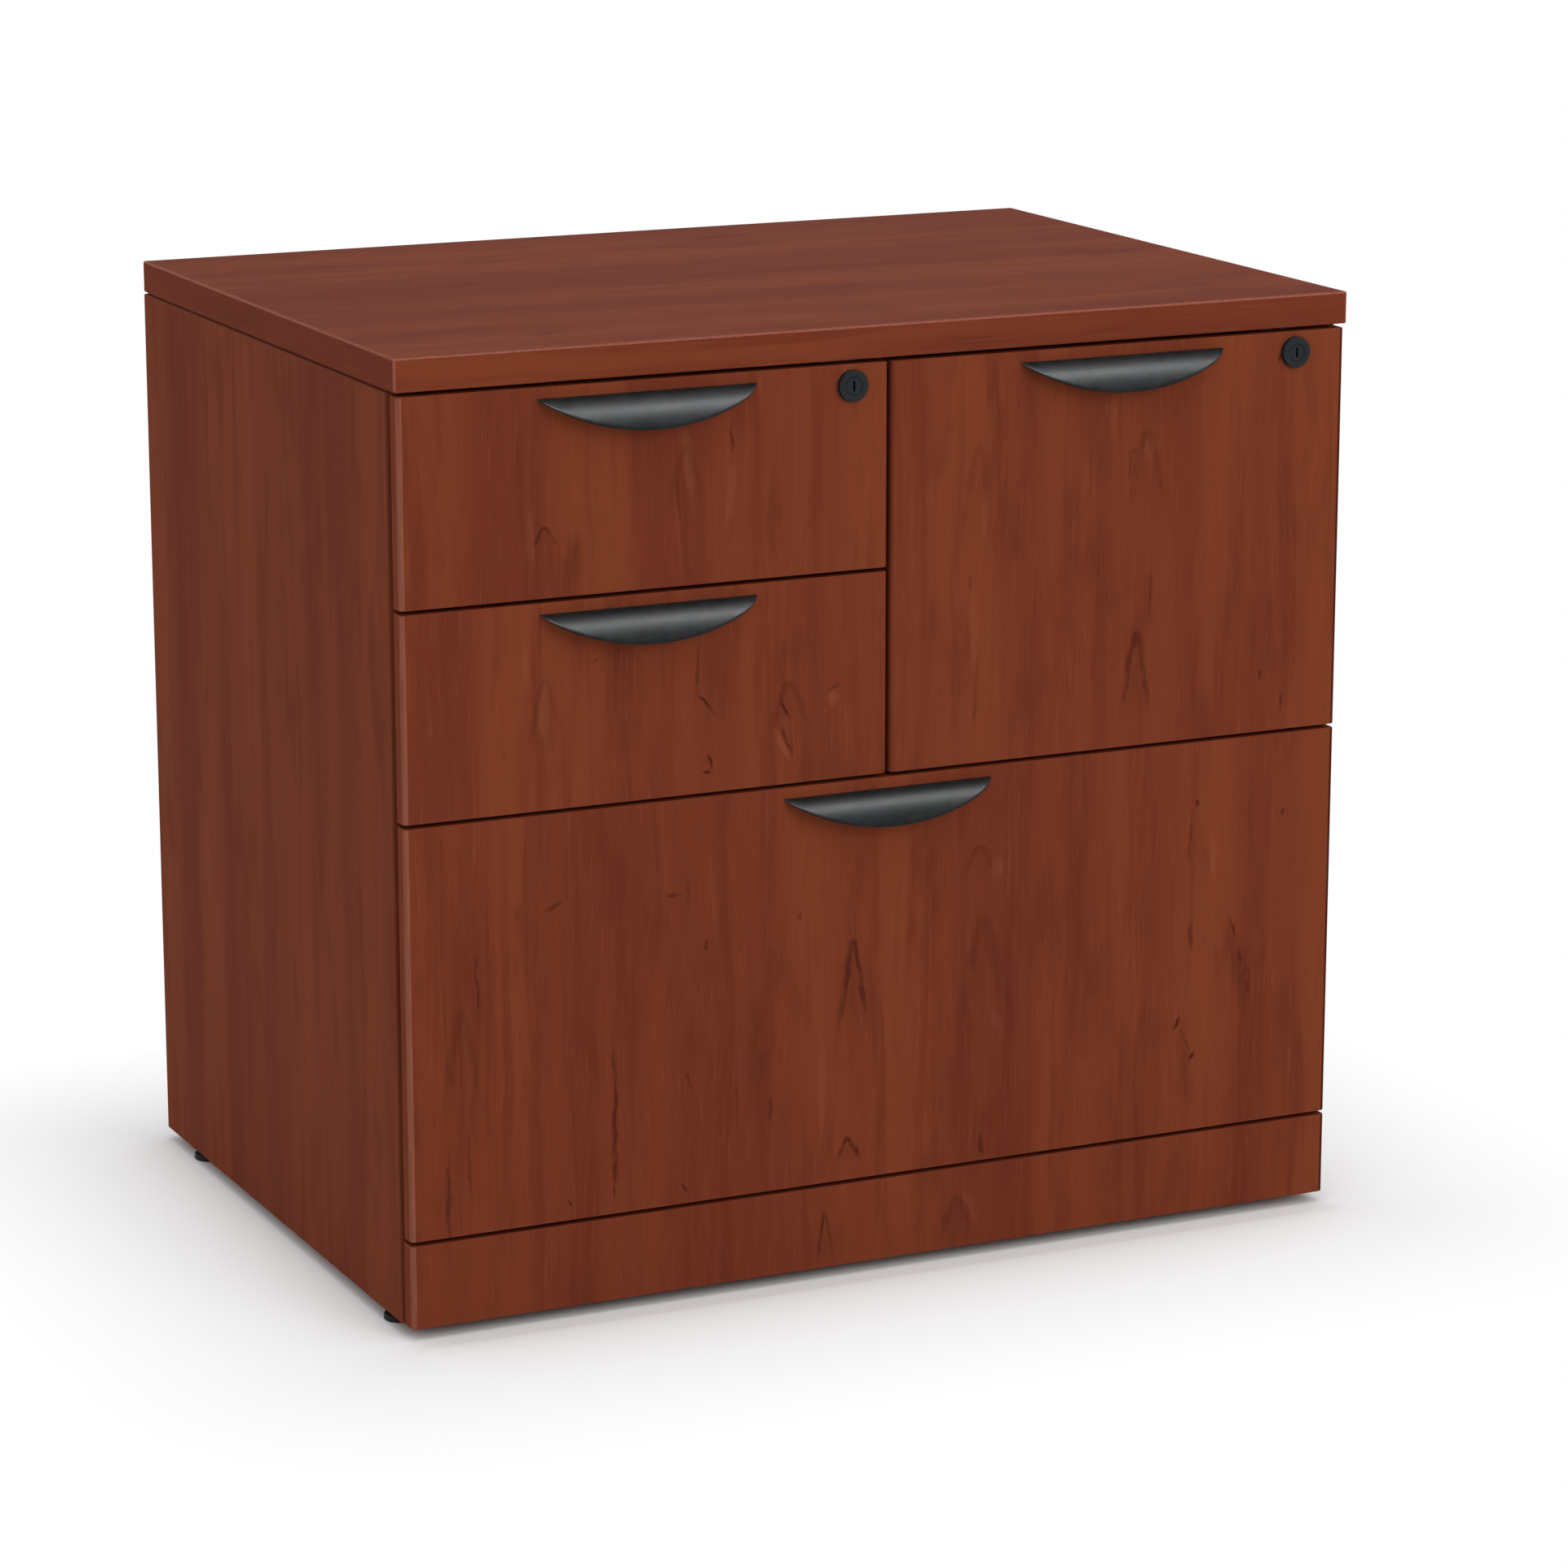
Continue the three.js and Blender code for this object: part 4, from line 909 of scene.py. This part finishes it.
def cam_screw(hand):
    """The screw that holds the cam on the spigot."""
    mesh = bmesh.new()
    centre = lock_axis(hand)
    centre.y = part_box(f"lock_cam_{hand}")[1].y
    add_screw(mesh, centre, BACKWARD)
    soften(mesh)
    add_piece(f"lock_cam_screw_{hand}", mesh, [ZINC], f"lock_{hand}")


def add_front_screws(mesh, drawer):
    """Adds the screws through the box's front wall into the drawer front."""
    low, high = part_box(f"{drawer}_walls")
    size = high - low
    inner_y = low.y + (PLYWOOD_THICKNESS - JOINT_LINE) * MM
    for share_x in FRONT_SCREWS_ACROSS:
        for share_z in FRONT_SCREWS_UP:
            place = Vector((low.x + share_x * size.x, inner_y, low.z + share_z * size.z))
            add_screw(mesh, place, BACKWARD)


def add_runner_screws(mesh, drawer):
    """Adds the screws through the sliding runners into the box's side walls."""
    end = RUNNER_SCREW_END * MM
    for hand, side in zip(HANDS, (-1, 1)):
        low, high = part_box(f"{drawer}_runner_sliding_{hand}")
        middle = (low + high) / 2
        web_x = (high.x if side < 0 else low.x) + side * RUNNER_SHEET * MM
        for y in (low.y + end, middle.y, high.y - end):
            add_screw(mesh, Vector((web_x, y, middle.z)), Vector((side, 0, 0)))


def drawer_screws(drawer):
    """The screws that hold a drawer's front and runners on its box."""
    mesh = bmesh.new()
    add_front_screws(mesh, drawer)
    add_runner_screws(mesh, drawer)
    soften(mesh)
    add_piece(f"{drawer}_screws", mesh, [ZINC], drawer)


def drawer_bumpers(drawer):
    """Four rubber bumpers on the back of a front, where it meets the case."""
    low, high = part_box(f"{drawer}_front")
    mesh = bmesh.new()
    for x, inward in ((low.x, 1), (high.x, -1)):
        # An edge near the cabinet's middle meets the partition, so its bumpers lie closer to it.
        inset = BUMPER_MIDDLE_INSET if abs(x) < abs(low.x + high.x) / 4 else BUMPER_INSET
        for z in (low.z + BUMPER_INSET * MM, high.z - BUMPER_INSET * MM):
            centre = Vector((x + inward * inset * MM, high.y, z))
            add_button(mesh, BUMPER_PROFILE, BUMPER_RADIUS, BUMPER_HEIGHT, centre, BACKWARD)
    soften(mesh)
    add_piece(f"{drawer}_bumpers", mesh, [RUBBER], drawer)


def foot_outline():
    """A foot's outline of radius and height, in millimetres: round-edged pad, neck and threaded stem.
    The thread is drawn as rings."""
    rim = FOOT_RADIUS - FOOT_ROUND
    outline = [
        (0, 0),
        *quarter_round(rim, FOOT_ROUND, FOOT_ROUND, 3),
        *quarter_round(rim, FOOT_HEIGHT - FOOT_ROUND, FOOT_ROUND, 0),
        (FOOT_NECK_RADIUS, FOOT_HEIGHT),
        (FOOT_NECK_RADIUS, FOOT_NECK_TOP),
        (FOOT_STEM_RADIUS, FOOT_NECK_TOP),
    ]
    turns = int((FOOT_STEM_TOP - FOOT_NECK_TOP) / THREAD_PITCH)
    for turn in range(turns):
        height = FOOT_NECK_TOP + turn * THREAD_PITCH
        outline.append((FOOT_STEM_RADIUS - THREAD_DEPTH, height + THREAD_PITCH / 2))
        outline.append((FOOT_STEM_RADIUS, height + THREAD_PITCH))
    outline.append((0, FOOT_NECK_TOP + turns * THREAD_PITCH))
    return outline


def levelling_foot(node):
    """A moulded foot on its threaded stem."""
    low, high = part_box(node)
    centre = Vector(((low.x + high.x) / 2, (low.y + high.y) / 2, low.z))
    mesh = bmesh.new()
    turn_outline(mesh, foot_outline(), centre, UPWARD, FOOT_STEPS)
    soften(mesh)
    add_piece(f"{node}_moulding", mesh, [FOOT_BLACK], node, [node])


def add_camera():
    """The photograph's camera."""
    data = bpy.data.cameras.new("photograph_view")
    data.sensor_width = CAMERA_SENSOR
    data.lens = CAMERA_LENS
    camera = bpy.data.objects.new("photograph_view", data)
    camera.location = CAMERA_PLACE
    camera.rotation_euler = (math.pi / 2 - CAMERA_TILT, 0, -CAMERA_TURN)
    bpy.context.scene.collection.objects.link(camera)
    bpy.context.scene.camera = camera


def seen_rays(tree):
    """One for rays that show a background, straight or in a reflection, and nought for diffuse light."""
    path = add(tree, "ShaderNodeLightPath").outputs
    direct = add(tree, "ShaderNodeMath", {0: path["Is Camera Ray"], 1: path["Is Glossy Ray"]}).outputs[0]
    inputs = {0: direct, 1: path["Is Transmission Ray"]}
    return add(tree, "ShaderNodeMath", inputs, use_clamp=True).outputs[0]


def add_world():
    """A white surrounding that lights the cabinet softly from all sides."""
    world = bpy.data.worlds.new("white_studio")
    bpy.context.scene.world = world
    world.use_nodes = True
    tree = world.node_tree
    tree.nodes.clear()
    inputs = {"Value": seen_rays(tree), "To Min": AMBIENT_LEVEL, "To Max": 1.0}
    strength = add(tree, "ShaderNodeMapRange", inputs).outputs[0]
    background = add(tree, "ShaderNodeBackground", {"Color": (1, 1, 1, 1), "Strength": strength})
    add(tree, "ShaderNodeOutputWorld", {"Surface": background.outputs[0]})


def add_lamp(name, place, target, size, power):
    """A rectangular softbox that faces a target."""
    data = bpy.data.lights.new(name, "AREA")
    data.shape = "RECTANGLE"
    data.size, data.size_y = size
    data.energy = power
    lamp = bpy.data.objects.new(name, data)
    lamp.location = place
    lamp.rotation_euler = (Vector(target) - Vector(place)).to_track_quat("-Z", "Y").to_euler()
    bpy.context.scene.collection.objects.link(lamp)
    return lamp


def add_lights():
    """Two plain softboxes, and two small ones that show only on the pulls, as a soft bright band."""
    add_lamp("overhead_softbox", *OVERHEAD_SOFTBOX)
    front = add_lamp("front_softbox", *FRONT_SOFTBOX)
    front.visible_glossy = False
    for hand in HANDS:
        lamp = add_lamp(f"pull_softbox_{hand}", *PULL_SOFTBOXES[hand])
        lamp.visible_diffuse = False
        lamp.light_linking.receiver_collection = PULLS


def pale_floor():
    """Matt pale grey floor paint: it shows the cabinet's shadow and runs out into the white around it."""
    material, tree, place = new_material("pale_floor")
    half = (cad_box[1] - cad_box[0]) / 2
    mirrored = add(tree, "ShaderNodeVectorMath", {0: place}, operation="ABSOLUTE").outputs[0]
    beyond = add(tree, "ShaderNodeVectorMath", {0: mirrored, 1: half}, operation="SUBTRACT").outputs[0]
    outside = add(tree, "ShaderNodeVectorMath", {0: beyond}, operation="MAXIMUM").outputs[0]
    distance = add(tree, "ShaderNodeVectorMath", {0: outside}, operation="LENGTH").outputs["Value"]
    inputs = {0: distance, 1: FLOOR_FADE}
    reach = add(tree, "ShaderNodeMath", inputs, operation="DIVIDE", use_clamp=True).outputs[0]
    fade = add(tree, "ShaderNodeMath", {0: reach, 1: FLOOR_FADE_POWER}, operation="POWER").outputs[0]
    share = add(tree, "ShaderNodeMath", {0: fade, 1: seen_rays(tree)}, operation="MULTIPLY").outputs[0]
    paint = add(tree, "ShaderNodeBsdfDiffuse", {"Color": linear("#F4F4F4")})
    white = add(tree, "ShaderNodeEmission", {"Color": (1, 1, 1, 1), "Strength": 1.0})
    mixed = add(tree, "ShaderNodeMixShader", {0: share, 1: paint.outputs[0], 2: white.outputs[0]})
    add(tree, "ShaderNodeOutputMaterial", {"Surface": mixed.outputs[0]})
    return material


def add_floor():
    """The floor that the cabinet stands on."""
    mesh = bmesh.new()
    bmesh.ops.create_grid(mesh, x_segments=1, y_segments=1, size=FLOOR_HALF)
    data = bpy.data.meshes.new("floor")
    mesh.to_mesh(data)
    mesh.free()
    data.materials.append(pale_floor())
    floor = bpy.data.objects.new("floor", data)
    bpy.context.scene.collection.objects.link(floor)


PULLS = bpy.data.collections.new("pulls")

SATIN_BLACK = satin_black()
LOCK_BLACK = grained_black("black_powder_coat", "#161B1D", roughness=0.45)
FOOT_BLACK = grained_black("black_nylon", "#14171A", roughness=0.5)
ZINC = zinc_steel()
RUBBER = rubber()
VENEER_ALONG_Y = birch_veneer("birch_veneer_along_y", Y)
VENEER_ALONG_X = birch_veneer("birch_veneer_along_x", X)
EDGE_ACROSS_X = birch_edge("birch_edge_across_x", X)
EDGE_ACROSS_Y = birch_edge("birch_edge_across_y", Y)
# Colours of rounded edges that paint light on them: three painted highlights, then one painted shade.
TOP_PAINTED_HIGHLIGHT = edge_band("painted_highlight_on_the_top_edges", "#905646")
FRONT_PAINTED_HIGHLIGHT = edge_band("painted_highlight_on_the_front_edges", "#8A5240")
PANEL_PAINTED_HIGHLIGHT = edge_band("painted_highlight_on_the_panel_edges", "#6C3A2A")
FRONT_PAINTED_SHADE = edge_band("painted_shade_on_the_front_edges", "#45180B")

add_camera()
add_world()
add_lights()
add_floor()

case_panel("top_panel", X, "top", TOP_PAINTED_HIGHLIGHT, radius=TOP_RADIUS)
for hand in HANDS:
    case_panel(f"side_panel_{hand}", Z, hand, PANEL_PAINTED_HIGHLIGHT, trim=TOP_SHADOW_GAP)
case_panel("back_panel", Z, "back", PANEL_PAINTED_HIGHLIGHT)
for node, grain in (("bottom_panel", X), ("middle_shelf", X), ("partition", Z)):
    case_panel(node, grain, "inside", PANEL_PAINTED_HIGHLIGHT)
front_board("kick_plate", "case", "lateral_drawer")
for drawer in DRAWERS:
    front_board(f"{drawer}_front", drawer, drawer)
    drawer_box(drawer)
    pull_hood(drawer)
    drawer_screws(drawer)
    drawer_bumpers(drawer)
for hand in LOCKS:
    lock_barrel(hand)
    lock_nut(hand)
    lock_plug(hand)
    cam_screw(hand)
for row in ("front", "rear"):
    for hand in HANDS:
        levelling_foot(f"levelling_foot_{row}_{hand}")

# The finish of each CAD node that stays in view, by its material slot in the record.
carried_over = {
    "top_laminate": cherry_laminate(X, "top"),
    "front_laminate": cherry_laminate(Z, "lateral_drawer"),
    "side_laminate": cherry_laminate(X, "inside"),
    "drawer_plywood": VENEER_ALONG_Y,
    "drawer_bottom": hardboard(),
    "zinc_steel": ZINC,
    "pull_black": SATIN_BLACK,
    "lock_black": LOCK_BLACK,
    "foot_plastic": FOOT_BLACK,
}
for part in frame["record"]["subparts"]:
    for slot in frame["nodes"][part["node"]].material_slots:
        slot.material = carried_over[part["material_slot"]]

bpy.context.scene.view_settings.view_transform = "Standard"
